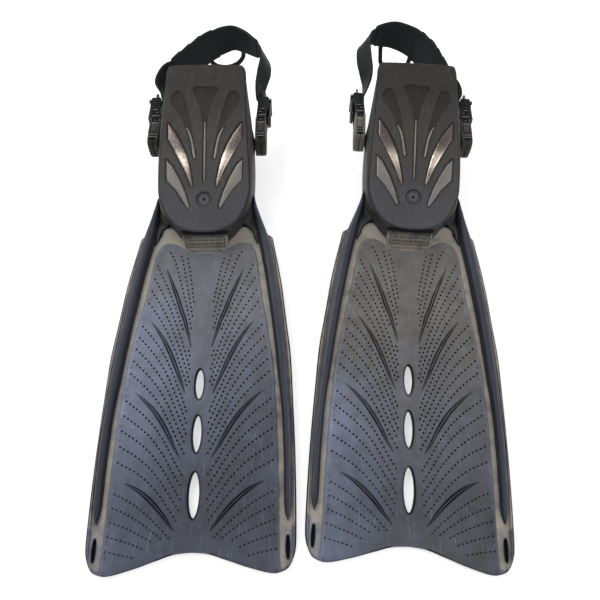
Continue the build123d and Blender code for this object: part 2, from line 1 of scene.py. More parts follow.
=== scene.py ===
"""A pair of strap fins lying side by side with their soles up.

The blade tips point towards -Y and the heel straps towards +Y; the left fin lies at -X.
Pieces are modelled once, in the left fin's own frame in millimetres: +x towards the other
fin (inner side), +y towards the heel, +z up from the sole. place() sets them in the shared
row frame in metres, and the right fin is the mirror image.
"""
import bpy
import bmesh
import math
import numpy as np
from mathutils import Vector, Matrix, noise
from mathutils.geometry import delaunay_2d_cdt


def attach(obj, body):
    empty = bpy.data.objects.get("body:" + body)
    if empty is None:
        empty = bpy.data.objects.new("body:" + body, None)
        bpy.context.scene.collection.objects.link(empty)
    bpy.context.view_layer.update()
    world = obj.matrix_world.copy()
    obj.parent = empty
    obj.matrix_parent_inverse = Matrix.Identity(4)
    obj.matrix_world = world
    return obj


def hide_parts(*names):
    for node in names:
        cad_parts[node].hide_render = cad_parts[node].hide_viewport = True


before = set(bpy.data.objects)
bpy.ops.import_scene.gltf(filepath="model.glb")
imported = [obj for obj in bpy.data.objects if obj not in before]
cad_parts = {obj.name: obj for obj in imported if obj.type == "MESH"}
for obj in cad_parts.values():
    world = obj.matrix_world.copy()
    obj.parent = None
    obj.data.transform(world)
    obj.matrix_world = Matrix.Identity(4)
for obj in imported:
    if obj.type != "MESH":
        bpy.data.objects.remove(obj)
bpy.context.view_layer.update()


scene = bpy.context.scene
SIDES = ("left", "right")

# ---------------------------------------------------------------- fin frame to row frame
SPACING = 136.0      # x of each fin's origin from the middle of the row
STAGGER = 12.0       # the right fin lies this much further along y
ROW_SHIFT = 29.291   # y shift of both fins
LIFT = 27.256        # height of the fin's origin over the floor
YAW = 2.595          # degrees
TILT = 2.97          # degrees, raises the heel end


def place(side, points):
    """Left-fin coordinates in mm to the row frame in metres."""
    sign = 1 if side == "right" else -1
    x, y, z = np.array(points, float).reshape(-1, 3).T
    x = -sign * x
    tilt, yaw = math.radians(TILT), math.radians(-sign * YAW)
    level = y * math.cos(tilt) - z * math.sin(tilt)
    height = y * math.sin(tilt) + z * math.cos(tilt)
    row_x = x * math.cos(yaw) - level * math.sin(yaw) + sign * SPACING
    row_y = x * math.sin(yaw) + level * math.cos(yaw)
    row_y = row_y + (STAGGER if side == "right" else 0.0) + ROW_SHIFT
    return np.stack([row_x, row_y, height + LIFT], 1) / 1000.0


# ---------------------------------------------------------------- profiles and curves
def smooth(t):
    """Eased step from 0 to 1."""
    t = np.clip(t, 0.0, 1.0)
    return t * t * (3 - 2 * t)


def bell(offset, width):
    return np.exp(-(offset / width) ** 2)


def arc(t):
    """Quarter round: 0 at t = 0, upright there, level at 1 from t = 1 on."""
    return np.sqrt(np.clip(1 - (1 - np.clip(t, 0, 1)) ** 2, 0, 1))


def interp_rows(at, known, rows):
    """Rows interpolated column by column."""
    return np.stack([np.interp(at, known, rows[:, k]) for k in range(rows.shape[1])], 1)


def run_length(line):
    return np.r_[0, np.cumsum(np.linalg.norm(np.diff(line, axis=0), axis=1))]


def relax(values, rounds):
    """Copy smoothed along its length, with both ends held."""
    values = values.copy()
    for _ in range(rounds):
        values[1:-1] = (values[:-2] + 2 * values[1:-1] + values[2:]) / 4
    return values


def table(points, key):
    """Second column interpolated over the first."""
    p = np.array(sorted(points, key=lambda q: q[0]), float)
    return np.interp(key, p[:, 0], p[:, 1])


def soft(points, key, width):
    """Table look-up with its corners eased over width."""
    key = np.asarray(key, float)
    return sum(0.25 * table(points, key + k * width / 2) for k in (-1, -0.5, 0.5, 1))


def by_y(outline, y):
    """|x| of an outline at y."""
    return table([(b, a) for a, b in outline], y)


def catmull(points, per, closed=False):
    """Catmull-Rom curve with so many points per span."""
    p = np.array(points, float)
    n = len(p)
    out = []
    for i in range(n if closed else n - 1):
        if closed:
            q = [p[(i + k) % n] for k in (-1, 0, 1, 2)]
        else:
            q = [p[max(i - 1, 0)], p[i], p[i + 1], p[min(i + 2, n - 1)]]
        for k in range(per):
            t = k / per
            out.append(0.5 * (2 * q[1] + (q[2] - q[0]) * t
                              + (2 * q[0] - 5 * q[1] + 4 * q[2] - q[3]) * t ** 2
                              + (3 * q[1] - q[0] - 3 * q[2] + q[3]) * t ** 3))
    if not closed:
        out.append(p[-1])
    return np.array(out)


def resample(points, step, closed=False):
    p = np.array(points, float)
    if closed:
        p = np.vstack([p, p[:1]])
    length = run_length(p)
    count = max(int(round(length[-1] / step)), 3)
    at = np.linspace(0, length[-1], count + 1)
    return interp_rows(at[:-1] if closed else at, length, p)


# ---------------------------------------------------------------- plane outlines
def area(loop):
    x, y = loop[:, 0], loop[:, 1]
    return 0.5 * float(np.sum(x * np.roll(y, -1) - np.roll(x, -1) * y))


def normals(line, closed=False):
    """Unit normals on the left of the direction of travel."""
    if closed:
        d = np.roll(line, -1, 0) - np.roll(line, 1, 0)
    else:
        d = np.gradient(line, axis=0)
    d /= np.maximum(np.linalg.norm(d, axis=1, keepdims=True), 1e-9)
    return np.stack([-d[:, 1], d[:, 0]], 1)


def inset(loop, dist):
    """Closed loop moved inwards by dist."""
    return loop + normals(loop, True) * (1 if area(loop) > 0 else -1) * dist


def inside(loop, points):
    x, y = points[:, 0], points[:, 1]
    result = np.zeros(len(points), bool)
    for (x1, y1), (x2, y2) in zip(loop, np.roll(loop, -1, 0)):
        if y1 == y2:
            continue
        hit = (y1 > y) != (y2 > y)
        if hit.any():
            result ^= hit & (x < (x2 - x1) * (y - y1) / (y2 - y1) + x1)
    return result


def distance(line, points, closed=True):
    """Unsigned distance from points to a polyline."""
    start = line if closed else line[:-1]
    end = np.roll(line, -1, 0) if closed else line[1:]
    span = end - start
    out = np.full(len(points), 1e9)
    chunk = 4000    # keeps the arrays small
    for i in range(0, len(points), chunk):
        p = points[i:i + chunk]
        t = ((p[:, None, :] - start[None]) * span[None]).sum(2)
        t = np.clip(t / np.maximum((span * span).sum(1), 1e-12)[None], 0, 1)
        gap = p[:, None, :] - start[None] - t[..., None] * span[None]
        out[i:i + chunk] = np.linalg.norm(gap, axis=2).min(1)
    return out


def signed(loop, points):
    """Distance to a loop, positive inside."""
    d = distance(loop, points)
    return np.where(inside(loop, points), d, -d)


def nearest_squared(points, marks, cell):
    """Squared distance to the nearest mark, looked for one cell all round."""
    grid = {}
    for mark in marks:
        grid.setdefault((int(mark[0] // cell), int(mark[1] // cell)), []).append(mark)
    out = []
    for x, y in points:
        cx, cy = int(x // cell), int(y // cell)
        out.append(min(((mark[0] - x) ** 2 + (mark[1] - y) ** 2
                        for i in (-1, 0, 1) for j in (-1, 0, 1)
                        for mark in grid.get((cx + i, cy + j), ())), default=math.inf))
    return np.array(out)


def flip(points):
    """Outline on the other side of the fin's axis."""
    p = np.array(points, float)
    p[:, 0] *= -1
    return p


def both(loop):
    return [loop, flip(loop)]


def close_half(points):
    """Half outline (x >= 0) and its mirror image as one closed loop."""
    p = np.array(points, float)
    q = flip(p[::-1])
    if abs(p[0, 0]) < 1e-6:
        q = q[:-1]
    if abs(p[-1, 0]) < 1e-6:
        q = q[1:]
    return np.vstack([p, q])


def ellipse(cx, cy, rx, ry, count, power=1.0, turn=0.0):
    a = np.linspace(0, 2 * math.pi, count, endpoint=False)
    x = rx * np.sign(np.cos(a)) * np.abs(np.cos(a)) ** power
    y = ry * np.sin(a)
    c, s = math.cos(turn), math.sin(turn)
    return np.stack([cx + x * c - y * s, cy + x * s + y * c], 1)


def circle(radius, count=36):
    return ellipse(0.0, 0.0, radius, radius, count)


def noise_over(points, size_x, size_y, layer, sample=noise.noise):
    return np.array([sample(Vector((x / size_x, y / size_y, layer))) for x, y in points])


# ---------------------------------------------------------------- meshes
class Sheet:
    """Plane mesh that keeps its feature lines as edges; heights are given afterwards."""

    def __init__(self, outline):
        self.outline = np.array(outline, float)
        self.holes, self.fixed, self.edges = [], [], []
        self.count = 0
        self.loop(self.outline)

    def dots(self, points):
        """Adds single points and returns the first one's index."""
        first = self.count
        self.fixed.append(np.array(points, float))
        self.count += len(points)
        return first

    def line(self, points):
        i = self.dots(points)
        self.edges += [(i + k, i + k + 1) for k in range(len(points) - 1)]

    def loop(self, points):
        i, m = self.dots(points), len(points)
        self.edges += [(i + k, i + (k + 1) % m) for k in range(m)]

    def hole(self, points):
        self.holes.append(np.array(points, float))
        self.loop(points)

    def within(self, points):
        keep = inside(self.outline, points)
        for hole in self.holes:
            keep &= ~inside(hole, points)
        return keep

    def build(self, spacing, gap):
        """Fills up with a triangular grid that stays gap away from the feature points."""
        fixed = np.vstack(self.fixed)
        low, high = self.outline.min(0), self.outline.max(0)
        pitch = spacing * 0.866
        rows = []
        for j, y in enumerate(np.arange(low[1] + pitch / 2, high[1], pitch)):
            xs = np.arange(low[0] + (spacing / 2 if j % 2 else 0), high[0], spacing)
            rows.append(np.stack([xs, np.full_like(xs, y)], 1))
        grid = np.vstack(rows)
        grid = grid[self.within(grid)]
        grid = grid[~(nearest_squared(grid, fixed, gap) < gap * gap)]
        cloud = [Vector(p) for p in np.vstack([fixed, grid])]
        points, _, faces, *_ = delaunay_2d_cdt(cloud, self.edges, [], 0, 1e-4)
        points = np.array([(p.x, p.y) for p in points])
        faces = np.array(faces, int)
        faces = faces[self.within(points[faces].mean(1))]
        a, b, c = (points[faces[:, k]] for k in range(3))
        twice = (b[:, 0] - a[:, 0]) * (c[:, 1] - a[:, 1]) - (b[:, 1] - a[:, 1]) * (c[:, 0] - a[:, 0])
        faces[twice < 0] = faces[twice < 0][:, ::-1]
        faces = faces[np.abs(twice) > 1e-7]
        used = np.unique(faces)
        index = -np.ones(len(points), int)
        index[used] = np.arange(len(used))
        self.points, self.faces = points[used], index[faces]

    def solid(self, top, bottom):
        """Closed shell between two heights, with walls along every border."""
        n = len(self.points)
        verts = np.vstack([np.c_[self.points, top], np.c_[self.points, bottom]])
        faces = [tuple(t) for t in self.faces] + [tuple(t[::-1] + n) for t in self.faces]
        edges = dict.fromkeys((t[i], t[(i + 1) % 3]) for t in self.faces for i in range(3))
        faces += [(b, a, a + n, b + n) for a, b in edges if (b, a) not in edges]
        return verts, [tuple(int(i) for i in face) for face in faces]


def loft(rings, closed=False):
    """Skin through rings of equal length: capped, or closed from the last ring to the first."""
    size, count = len(rings[0]), len(rings)
    faces = []
    for i in range(count if closed else count - 1):
        here, there = i * size, (i + 1) % count * size
        for k in range(size):
            after = (k + 1) % size
            faces.append((here + k, here + after, there + after, there + k))
    if not closed:
        last = (count - 1) * size
        faces.append(tuple(range(size - 1, -1, -1)))
        faces.append(tuple(range(last, last + size)))
    return np.vstack(rings), faces


def merge(*parts):
    verts, faces, n = [], [], 0
    for part_verts, part_faces in parts:
        verts.append(part_verts)
        faces += [tuple(i + n for i in face) for face in part_faces]
        n += len(part_verts)
    return np.vstack(verts), faces


def flip_skin(skin):
    """Skin mirrored across the fin's axis."""
    verts, faces = skin
    return verts * np.array([-1, 1, 1]), [tuple(reversed(face)) for face in faces]


def add_piece(name, skin, body, material, replaced=None, sharp=40, attributes=None,
              sides=SIDES):
    """One piece on each side. Attribute values are one array, or one for each side."""
    verts, faces = skin
    for side in sides:
        mesh = bpy.data.meshes.new(f"{side}_{name}")
        wound = faces if side == "left" else [tuple(reversed(face)) for face in faces]
        mesh.from_pydata([tuple(p) for p in place(side, verts)], [], wound)
        mesh.validate()
        bm = bmesh.new()
        bm.from_mesh(mesh)
        bmesh.ops.recalc_face_normals(bm, faces=bm.faces)
        bm.to_mesh(mesh)
        bm.free()
        for key, values in (attributes or {}).items():
            if isinstance(values, dict):
                values = values[side]
            layer = mesh.attributes.new(key, "FLOAT", "POINT")
            layer.data.foreach_set("value", np.asarray(values, np.float32))
        mesh.shade_smooth()
        mesh.set_sharp_from_angle(angle=math.radians(sharp))
        piece = bpy.data.objects.new(f"{side}_{name}_skin", mesh)
        scene.collection.objects.link(piece)
        mesh.materials.append(MATERIALS[material])
        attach(piece, f"{side}_{body}")
        if replaced:
            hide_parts(f"{side}_{replaced}")


# ---------------------------------------------------------------- materials
class Shader:
    """A material's node tree, with one call for each node."""

    def __init__(self, name):
        self.material = bpy.data.materials.new(name)
        self.material.use_nodes = True
        self.tree = self.material.node_tree
        self.tree.nodes.clear()
        output = self.tree.nodes.new("ShaderNodeOutputMaterial")
        self.surface = self.tree.nodes.new("ShaderNodeBsdfPrincipled")
        self.tree.links.new(self.surface.outputs[0], output.inputs[0])

    def feed(self, node, inputs):
        """Links sockets and sets plain values."""
        for key, value in inputs.items():
            if isinstance(value, bpy.types.NodeSocket):
                self.tree.links.new(value, node.inputs[key])
            else:
                node.inputs[key].default_value = value

    def add(self, kind, inputs=None, output=0, **settings):
        """New node; returns one of its output sockets."""
        node = self.tree.nodes.new("ShaderNode" + kind)
        for key, value in settings.items():
            setattr(node, key, value)
        self.feed(node, inputs or {})
        return node.outputs[output]

    def noise(self, vector, scale, detail, **more):
        return self.add("TexNoise", {"Vector": vector, "Scale": scale, "Detail": detail, **more})

    def attribute(self, name):
        return self.add("Attribute", output="Fac", attribute_name=name)

    def multiply(self, a, b, clamp=False):
        return self.add("Math", {0: a, 1: b}, operation="MULTIPLY", use_clamp=clamp)

    def remap(self, value, source=(0, 1), target=(0, 1)):
        return self.add("MapRange", {"Value": value, "From Min": source[0], "From Max": source[1],
                                     "To Min": target[0], "To Max": target[1]})

    def mix(self, factor, a, b):
        return self.add("Mix", {"Factor": factor, "A": a, "B": b}, "Result", data_type="RGBA")

    def mask(self, vector, name, source, scale):
        """Vertex attribute broken up by noise."""
        patches = self.remap(self.noise(vector, scale, 6), source)
        return self.multiply(self.multiply(self.attribute(name), patches, True), 1.0, True)


def linear(rgb):
    """sRGB 0-255 to linear RGBA."""
    rgb = [v / 255 for v in rgb]
    return tuple(v / 12.92 if v <= 0.04045 else ((v + 0.055) / 1.055) ** 2.4 for v in rgb) + (1.0,)


def scuffed(shader, colour, space, amount):
    """Fine pale scuffs drawn out along the fin, and small specks."""
    drawn = shader.add("Mapping", {0: space, "Scale": (620, 48, 200), "Rotation": (0, 0, 0.35)})
    scuffs = shader.remap(shader.noise(drawn, scale=1.0, detail=4), source=(0.60, 0.74))
    specks = shader.remap(shader.noise(space, scale=900, detail=2), source=(0.64, 0.74))
    either = shader.add("Math", {0: scuffs, 1: specks}, operation="MAXIMUM")
    return shader.mix(shader.multiply(either, amount), colour, linear((178, 176, 170)))


def worn_edges(shader, colour, patches, worn):
    """Worn arrises, where the true and the rounded normal differ."""
    rounded = shader.add("Bevel", {"Radius": 0.0009}, samples=4)
    true = shader.add("NewGeometry", output="Normal")
    match = shader.add("VectorMath", {0: rounded, 1: true}, "Value", operation="DOT_PRODUCT")
    edge = shader.remap(match, source=(0.985, 0.86))
    return shader.mix(shader.multiply(edge, patches), colour, linear(worn))


def plastic(name, tones=None, tints=None, rough=0.55, scale=90.0, grain=1800.0, bump=0.08,
            grain_strength=0.25, spec=0.4, metallic=0.0, stretch=(1, 1, 1), toned=False,
            scratch=0.0, painted_shade=None, dust_scuff_and_sheen=None, wear=None):
    """Moulded plastic or rubber.

    tones: dark, middle and light sRGB colour. tints: warm and cool linear tint, mixed by the
    "cool" attribute, in place of tones; on the blade the cool tint goes with its painted light.
    scale, grain: noise scales of the patches and of the moulded grain. toned: brightness follows
    the "tone" attribute, which carries painted light on the blade and the upper inlays.
    painted_shade, dust_scuff_and_sheen, wear: sRGB colours of painted shade in creases, recesses,
    gaps and under overhangs, of dust and scuffs and of a painted highlight on the rails (both by
    attribute), and of worn edges.
    """
    shader = Shader(name)
    space = shader.add("TexCoord", output="Object")
    stretched = shader.add("Mapping", {0: space, "Scale": stretch})
    broad = shader.noise(stretched, scale * 0.12, 6, Roughness=0.6)
    fine = shader.noise(stretched, scale, 8, Roughness=0.65)
    moulded = shader.noise(stretched, grain, 3)
    blend = shader.add("Math", {0: broad, 1: 0.6, 2: shader.multiply(fine, 0.4)},
                       operation="MULTIPLY_ADD")
    colour = shader.add("ValToRGB", {0: blend})
    stops = colour.node.color_ramp.elements
    stops[0].position = 0.32
    stops[1].position = 0.70
    stops.new(0.5)
    greys = [(v, v, v, 1) for v in (0.84, 1.0, 1.17)]
    for stop, value in zip(stops, greys if tints else [linear(c) for c in tones]):
        stop.color = value
    # tint from warm to cool by the cool attribute; on the blade it goes with the painted light
    if tints:
        overlay = shader.mix(shader.attribute("cool"), tints[0] + (1,), tints[1] + (1,))
        colour = shader.add("VectorMath", {0: colour, 1: overlay}, operation="MULTIPLY")
    if toned:
        colour = shader.add("VectorMath", {0: colour, "Scale": shader.attribute("tone")},
                            operation="SCALE")
    if scratch:
        colour = scuffed(shader, colour, space, scratch)
    shine = spec
    # painted shade: the shade colour darkens creases, recesses, gaps and places under overhangs, and
    # dulls their sheen
    if painted_shade:
        shade_mask = shader.mask(space, "painted_shade", source=(0.0, 0.45), scale=60)
        colour = shader.mix(shade_mask, colour, linear(painted_shade))
        shine = shader.remap(shade_mask, target=(spec, spec * 0.15))
    # dust and scuffs by attribute; on the rails the same overlay paints a highlight on their outer
    # half
    if dust_scuff_and_sheen:
        overlay = shader.mask(space, "dust_scuff_and_sheen", source=(0.18, 0.62), scale=55)
        colour = shader.mix(overlay, colour, linear(dust_scuff_and_sheen))
    if wear:
        colour = worn_edges(shader, colour, fine, wear)
    roughness = shader.remap(fine, source=(0.3, 0.7),
                             target=(max(rough - 0.12, 0.05), min(rough + 0.14, 1.0)))
    relief = shader.add("Bump", {"Strength": grain_strength, "Distance": 0.0003,
                                 "Height": moulded})
    relief = shader.add("Bump", {"Strength": bump, "Distance": 0.002, "Height": fine,
                                 "Normal": relief})
    shader.feed(shader.surface, {"Base Color": colour, "Roughness": roughness,
                                 "Metallic": metallic, "Specular IOR Level": shine,
                                 "Normal": relief})
    # custom property carried by every moulded material
    shader.material["nt"] = 1
    return shader.material


LOOKS = {
    "blade_plastic": dict(
        tints=((1.05, 1.0, 0.93), (0.885, 1.0, 1.44)), rough=0.5, scale=46, grain=2400, bump=0.05,
        dust_scuff_and_sheen=(168, 162, 150), painted_shade=(17, 19, 26), spec=0.45, grain_strength=0.22, toned=True,
        scratch=0.22),
    # on the rails this overlay colour paints the highlight on their outer half
    "rail_rubber": dict(
        tones=((42, 45, 56), (52, 55, 67), (65, 68, 80)), rough=0.45, scale=70, grain=2600,
        bump=0.06, dust_scuff_and_sheen=(112, 113, 117), painted_shade=(20, 21, 27), spec=0.45),
    "pocket_rubber": dict(
        tones=((48, 48, 50), (58, 58, 60), (70, 70, 71)), rough=0.6, scale=80, grain=2600,
        bump=0.06, dust_scuff_and_sheen=(150, 144, 134), painted_shade=(24, 25, 28), spec=0.35),
    "sole_rubber": dict(
        tints=((1.01, 0.92, 0.81), (0.99, 0.99, 1.16)), rough=0.62, scale=75, grain=3000,
        bump=0.05, dust_scuff_and_sheen=(120, 117, 108), painted_shade=(34, 33, 31), spec=0.32, toned=True, scratch=0.12),
    "silver_inlay": dict(
        tones=((160, 146, 140), (205, 190, 176), (240, 232, 220)), rough=0.3, scale=220,
        grain=900, bump=0.16, metallic=0.7, spec=0.5, dust_scuff_and_sheen=(92, 82, 86), toned=True),
    "grey_inlay": dict(
        tones=((112, 110, 106), (128, 125, 119), (144, 141, 134)), rough=0.42, scale=90,
        grain=2000, bump=0.05, metallic=0.25, spec=0.5),
    "strip_inlay": dict(
        tones=((116, 115, 106), (140, 139, 128), (166, 165, 152)), rough=0.45, scale=90,
        grain=2000, bump=0.05, spec=0.5),
    "plug_plastic": dict(
        tones=((70, 70, 74), (84, 84, 88), (98, 98, 102)), rough=0.55, scale=120, grain=2600,
        bump=0.06, painted_shade=(30, 30, 34)),
    "buckle_base_plastic": dict(
        tones=((32, 32, 30), (44, 43, 40), (66, 63, 58)), scale=150, grain=1500, bump=0.1,
        wear=(150, 143, 130), grain_strength=0.4, spec=0.3),
    "buckle_base_worn": dict(
        tones=((76, 74, 70), (108, 104, 97), (136, 131, 122)), scale=150, grain=1500, bump=0.1,
        wear=(165, 157, 144), grain_strength=0.4, spec=0.3),
    "buckle_clip_plastic": dict(
        tones=((18, 20, 25), (26, 29, 34), (40, 43, 49)), rough=0.66, scale=150, grain=1300,
        bump=0.1, wear=(88, 86, 82), grain_strength=0.5, spec=0.2),
    "prong_plastic": dict(
        tones=((90, 85, 78), (108, 102, 94), (128, 122, 112)), scale=150, grain=1500,
        wear=(160, 152, 140), grain_strength=0.35),
    "prong_plastic_dark": dict(
        tones=((38, 37, 33), (52, 50, 45), (76, 72, 65)), scale=150, grain=1500,
        wear=(140, 132, 120), grain_strength=0.35, spec=0.3),
    # pale colour that paints the highlight on the buckles' ridges
    "painted_ridge_highlight": dict(
        tones=((104, 99, 91), (132, 126, 116), (158, 151, 140)), rough=0.5, scale=200,
        grain=1500, grain_strength=0.35, spec=0.3),
    # near black that paints the shade in the buckles' gaps and recesses
    "buckle_recess": dict(
        tones=((10, 11, 13), (15, 16, 19), (24, 25, 28)), rough=0.7, scale=150, grain=1500,
        grain_strength=0.3, spec=0.15),
    "lever_plastic": dict(
        tones=((42, 41, 41), (58, 56, 55), (84, 80, 76)), rough=0.5, scale=130, grain=1600,
        wear=(126, 120, 112)),
    "stud_plastic": dict(
        tones=((22, 23, 26), (30, 31, 35), (42, 43, 46)), scale=150, grain=1600,
        wear=(90, 88, 85), spec=0.3),
    "steel_pin": dict(
        tones=((130, 130, 130), (168, 168, 168), (198, 198, 196)), rough=0.3, scale=300,
        grain=3000, bump=0.05, metallic=1.0, stretch=(1, 6, 1)),
    "strap_rubber": dict(
        tones=((20, 22, 23), (27, 30, 31), (40, 41, 40)), rough=0.6, scale=110, grain=2200,
        bump=0.07, dust_scuff_and_sheen=(112, 105, 97), painted_shade=(12, 12, 13), spec=0.25),
    "pad_rubber": dict(
        tones=((14, 17, 20), (20, 24, 28), (30, 34, 38)), rough=0.7, scale=120, grain=1200,
        bump=0.12, grain_strength=0.55, spec=0.3, painted_shade=(12, 13, 15)),
}
MATERIALS = {name: plastic(name, **look) for name, look in LOOKS.items()}

# ---------------------------------------------------------------- outlines, (|x|, y)
BLADE = [
    (64, 56), (66.1, 45), (69.6, 33), (74.6, 20), (79.5, 8.3), (82.6, 2.2), (84.6, -0.2),
    (87.2, -1.6), (88.9, -5), (90.2, -12), (92.3, -24), (94.5, -36), (97, -50), (101.5, -80),
    (104.5, -108), (107.5, -135), (110.5, -161), (112, -186), (112.8, -211), (114, -247),
    (114.6, -270), (115, -292), (115.2, -314), (115.2, -335), (115, -356), (114.6, -376),
    (113.5, -388), (110, -398), (105, -405.5), (97, -409), (90, -410), (80, -408.5),
    (66.5, -405), (56, -402), (45.5, -398.5), (34.5, -395), (24, -391.5), (13.5, -389.5),
    (0, -388.5)]
# the blade ends inside the rubber of the foot pocket
BLADE_ROOT = [
    (0, -18.5), (24, -17.5), (29, -7.5), (34, -1), (40, 9), (49, 17), (54, 20), (58, 28),
    (58.5, 34), (60, 45), (61, 55.5)]
RAIL_IN = [
    (63.4, 57), (62.5, 45), (61, 33), (67, 2), (73, -29), (78, -58), (82, -86.5), (86, -114.5),
    (89, -141), (92, -167), (94.5, -195), (97.5, -220), (99.5, -246), (100.5, -278),
    (101, -300), (101, -340), (101.5, -351), (104, -358)]
RAIL_OUT = [
    (107, -358), (109.5, -353), (110.5, -340), (111, -320), (111.2, -295), (111, -271),
    (110, -247), (109, -226), (108.3, -207), (107.3, -189), (105.5, -165), (103.7, -145),
    (101.5, -123), (99, -100), (96, -78), (93, -57), (90.5, -36), (87.5, -20), (84, -5),
    (79.5, 8), (74.5, 20), (69.5, 33), (66, 45)]
# from the end of the rail round the blade's corner
CHANNEL_CORNER = [
    (111.0, -356), (110.9, -364), (110.6, -372), (110.2, -384), (109.0, -394), (105.5, -400),
    (101.5, -403.5)]
PANEL = [
    (0, -25.5), (15.5, -24), (29, -19.5), (39, -13.5), (48.5, -10.5), (57, -12.5), (63, -19),
    (67.5, -33), (70, -57), (73, -78), (76, -99), (80, -120), (83, -140), (86, -159),
    (89.5, -186), (92, -222), (94, -264), (95, -308), (95.5, -345), (96, -385), (97, -403)]
PANEL_SIDE = PANEL[6:]
PLATE = [
    (0, -8), (12, -7.5), (24, -5), (34, 0), (43, 8), (50, 19), (55, 31), (58, 43), (58.7, 52),
    (58.3, 70), (57.5, 90), (56.5, 110), (55.5, 130), (54.6, 150), (53.8, 170), (53.2, 190),
    (52.8, 205), (52.6, 216), (52.0, 220), (50.4, 222.6), (47.6, 223.8), (30, 224.6), (0, 225)]
RIBS = [
    [(51, -48), (46, -60), (40, -75), (34, -90), (29, -105), (23, -120), (19, -134),
     (14.5, -150), (12.5, -158)],
    [(65, -122.5), (58, -131), (50, -142.5), (43.5, -153.5), (37.5, -165), (32, -177),
     (27.5, -188), (23, -199), (18, -211), (16, -217)],
    [(77, -212), (68, -219.5), (59, -228), (51, -236.5), (43.5, -246.5), (37, -256.5),
     (31, -267), (25.5, -277.5), (20, -286.5), (17.5, -290.5)],
    [(79.5, -315.5), (70.5, -319.5), (61, -325), (53, -331), (45.5, -337.5), (38, -345),
     (31.5, -352.5), (25.5, -360), (20.5, -365.5), (19, -368)]]
# openings on the axis: y, length, half width
VENTS = [(-203, 36, 5.0), (-262, 42, 5.0), (-329.5, 49, 6.0)]
SLOT_X, SLOT_Y, SLOT_LENGTH, SLOT_HALF = 105.2, -384.5, 23.0, 1.8
UPPER_INSERT = [
    (48.6, 115.5), (36, 93), (26.2, 74.5), (18.8, 56), (16.2, 49.8), (15.8, 54), (19.3, 73),
    (23.8, 90.5), (30.6, 108), (38.7, 123), (46.5, 133.5), (49.1, 138)]
LOWER_INSERT = [
    (50.7, 87.3), (49.6, 58.5), (37, 45.2), (22, 22), (19.6, 21.6), (19.2, 25.5), (25, 43.8),
    (32.7, 61.5), (42.6, 79.3)]
SIDE_STRIP = [
    (11.4, 87.8), (14.6, 87.8), (16.6, 98), (18.0, 108), (19.9, 117), (22.6, 125),
    (26.2, 132.6), (23.4, 130.6), (19.5, 124), (16.6, 116), (14.6, 107), (12.9, 98)]
CENTRE_STRIP = [
    (-0.9, 57), (0.9, 57), (1.35, 90), (1.35, 112), (0.7, 140), (-0.7, 140), (-1.35, 112),
    (-1.35, 90)]
TRI_RECESS = [
    (-17.3, 188.7), (-11.3, 171), (-5.5, 152), (-3, 134.6), (-2, 116), (2, 116), (3, 134.6),
    (5.5, 152), (11.3, 171), (17.3, 188.7), (0, 190.5)]
LEAF_RECESS = [
    (40.8, 183.5), (47.2, 174), (44, 163), (36.4, 152.5), (28.8, 139), (22.8, 124),
    (18.6, 110.5), (14.0, 110.5), (15.6, 120.5), (20, 141.7), (25.6, 163.5), (32, 182)]
PLUG_Y, PLUG_R = 33.0, 9.0
# lower edge of the rubber that covers the root of the blade beside the toe
ARCH = [
    (0, -3), (22, -2.6), (29, -2.0), (33, -0.6), (36.8, 1.8), (40.2, 6.6), (44.5, 10.8),
    (49.0, 11.8), (53.5, 10.9), (57.4, 8.8), (60.8, 5.0), (63.3, -0.5), (65.8, -7.5),
    (68.4, -13.6), (69.6, -15.0)]

# heights, (y, z)
SOLE = [
    (-34, 20.6), (-8, 28.3), (20, 35.8), (50, 43.4), (90, 52.8), (120, 59.3), (150, 65.4),
    (186, 72.1), (232, 79.6)]
RAIL_TOP = [
    (-360, 3.5), (-340, 5.5), (-200, 7), (-60, 9), (-20, 10), (4, 13), (30, 22), (60, 33)]
RAIL_LOW = [(-360, -5.5), (-340, -8), (-200, -11.5), (-50, -14), (20, -17), (60, -22)]


def sole_z(y):
    return soft(SOLE, y, 6.0)


# ---------------------------------------------------------------- dots on the blade
# three rows beside the axis at the root of the blade
ROOT_ROWS = [
    [(47.2, -25), (42.6, -32.6), (39.5, -40), (35.2, -54.7), (30.5, -70), (25.8, -86),
     (21, -104), (15.6, -126), (12.8, -140)],
    [(32.2, -30.5), (30.3, -38.7), (26.7, -53.4), (22.5, -72), (18.8, -90), (15.1, -107),
     (12.6, -120)],
    [(23.9, -34.3), (20.3, -50.5), (17.4, -67.2), (14.6, -84), (12.3, -99.6)]]
# between each rib and the next: rows, run past the inner end, least x
RIB_GAPS = [(4, 10, 12.5), (5, 10, 12.5), (5, 6, 14)]
TIP_ROW_ENDS = (24, 32, 41, 51, 63)    # x where each row by the tip ends


def dots_along(line, step, least_x, panel_gap=None):
    """Evenly spaced (x, y, direction x, direction y) on one row."""
    line = resample(line, 0.5)
    line = line[np.abs(line[:, 0]) >= least_x]
    if panel_gap is not None:
        line = line[line[:, 0] <= by_y(PANEL_SIDE, line[:, 1]) - panel_gap]
    length = run_length(line)
    dots = []
    for at in np.arange(0, length[-1], step):
        i = int(np.searchsorted(length, at))
        way = line[min(i + 1, len(line) - 1)] - line[max(i - 1, 0)]
        dots.append((*line[i], *(way / max(np.linalg.norm(way), 1e-9))))
    return dots


def beyond(end, before, reach):
    """Point past the end of a line, on the run from before to end."""
    return end + (end - before) / np.linalg.norm(end - before) * reach


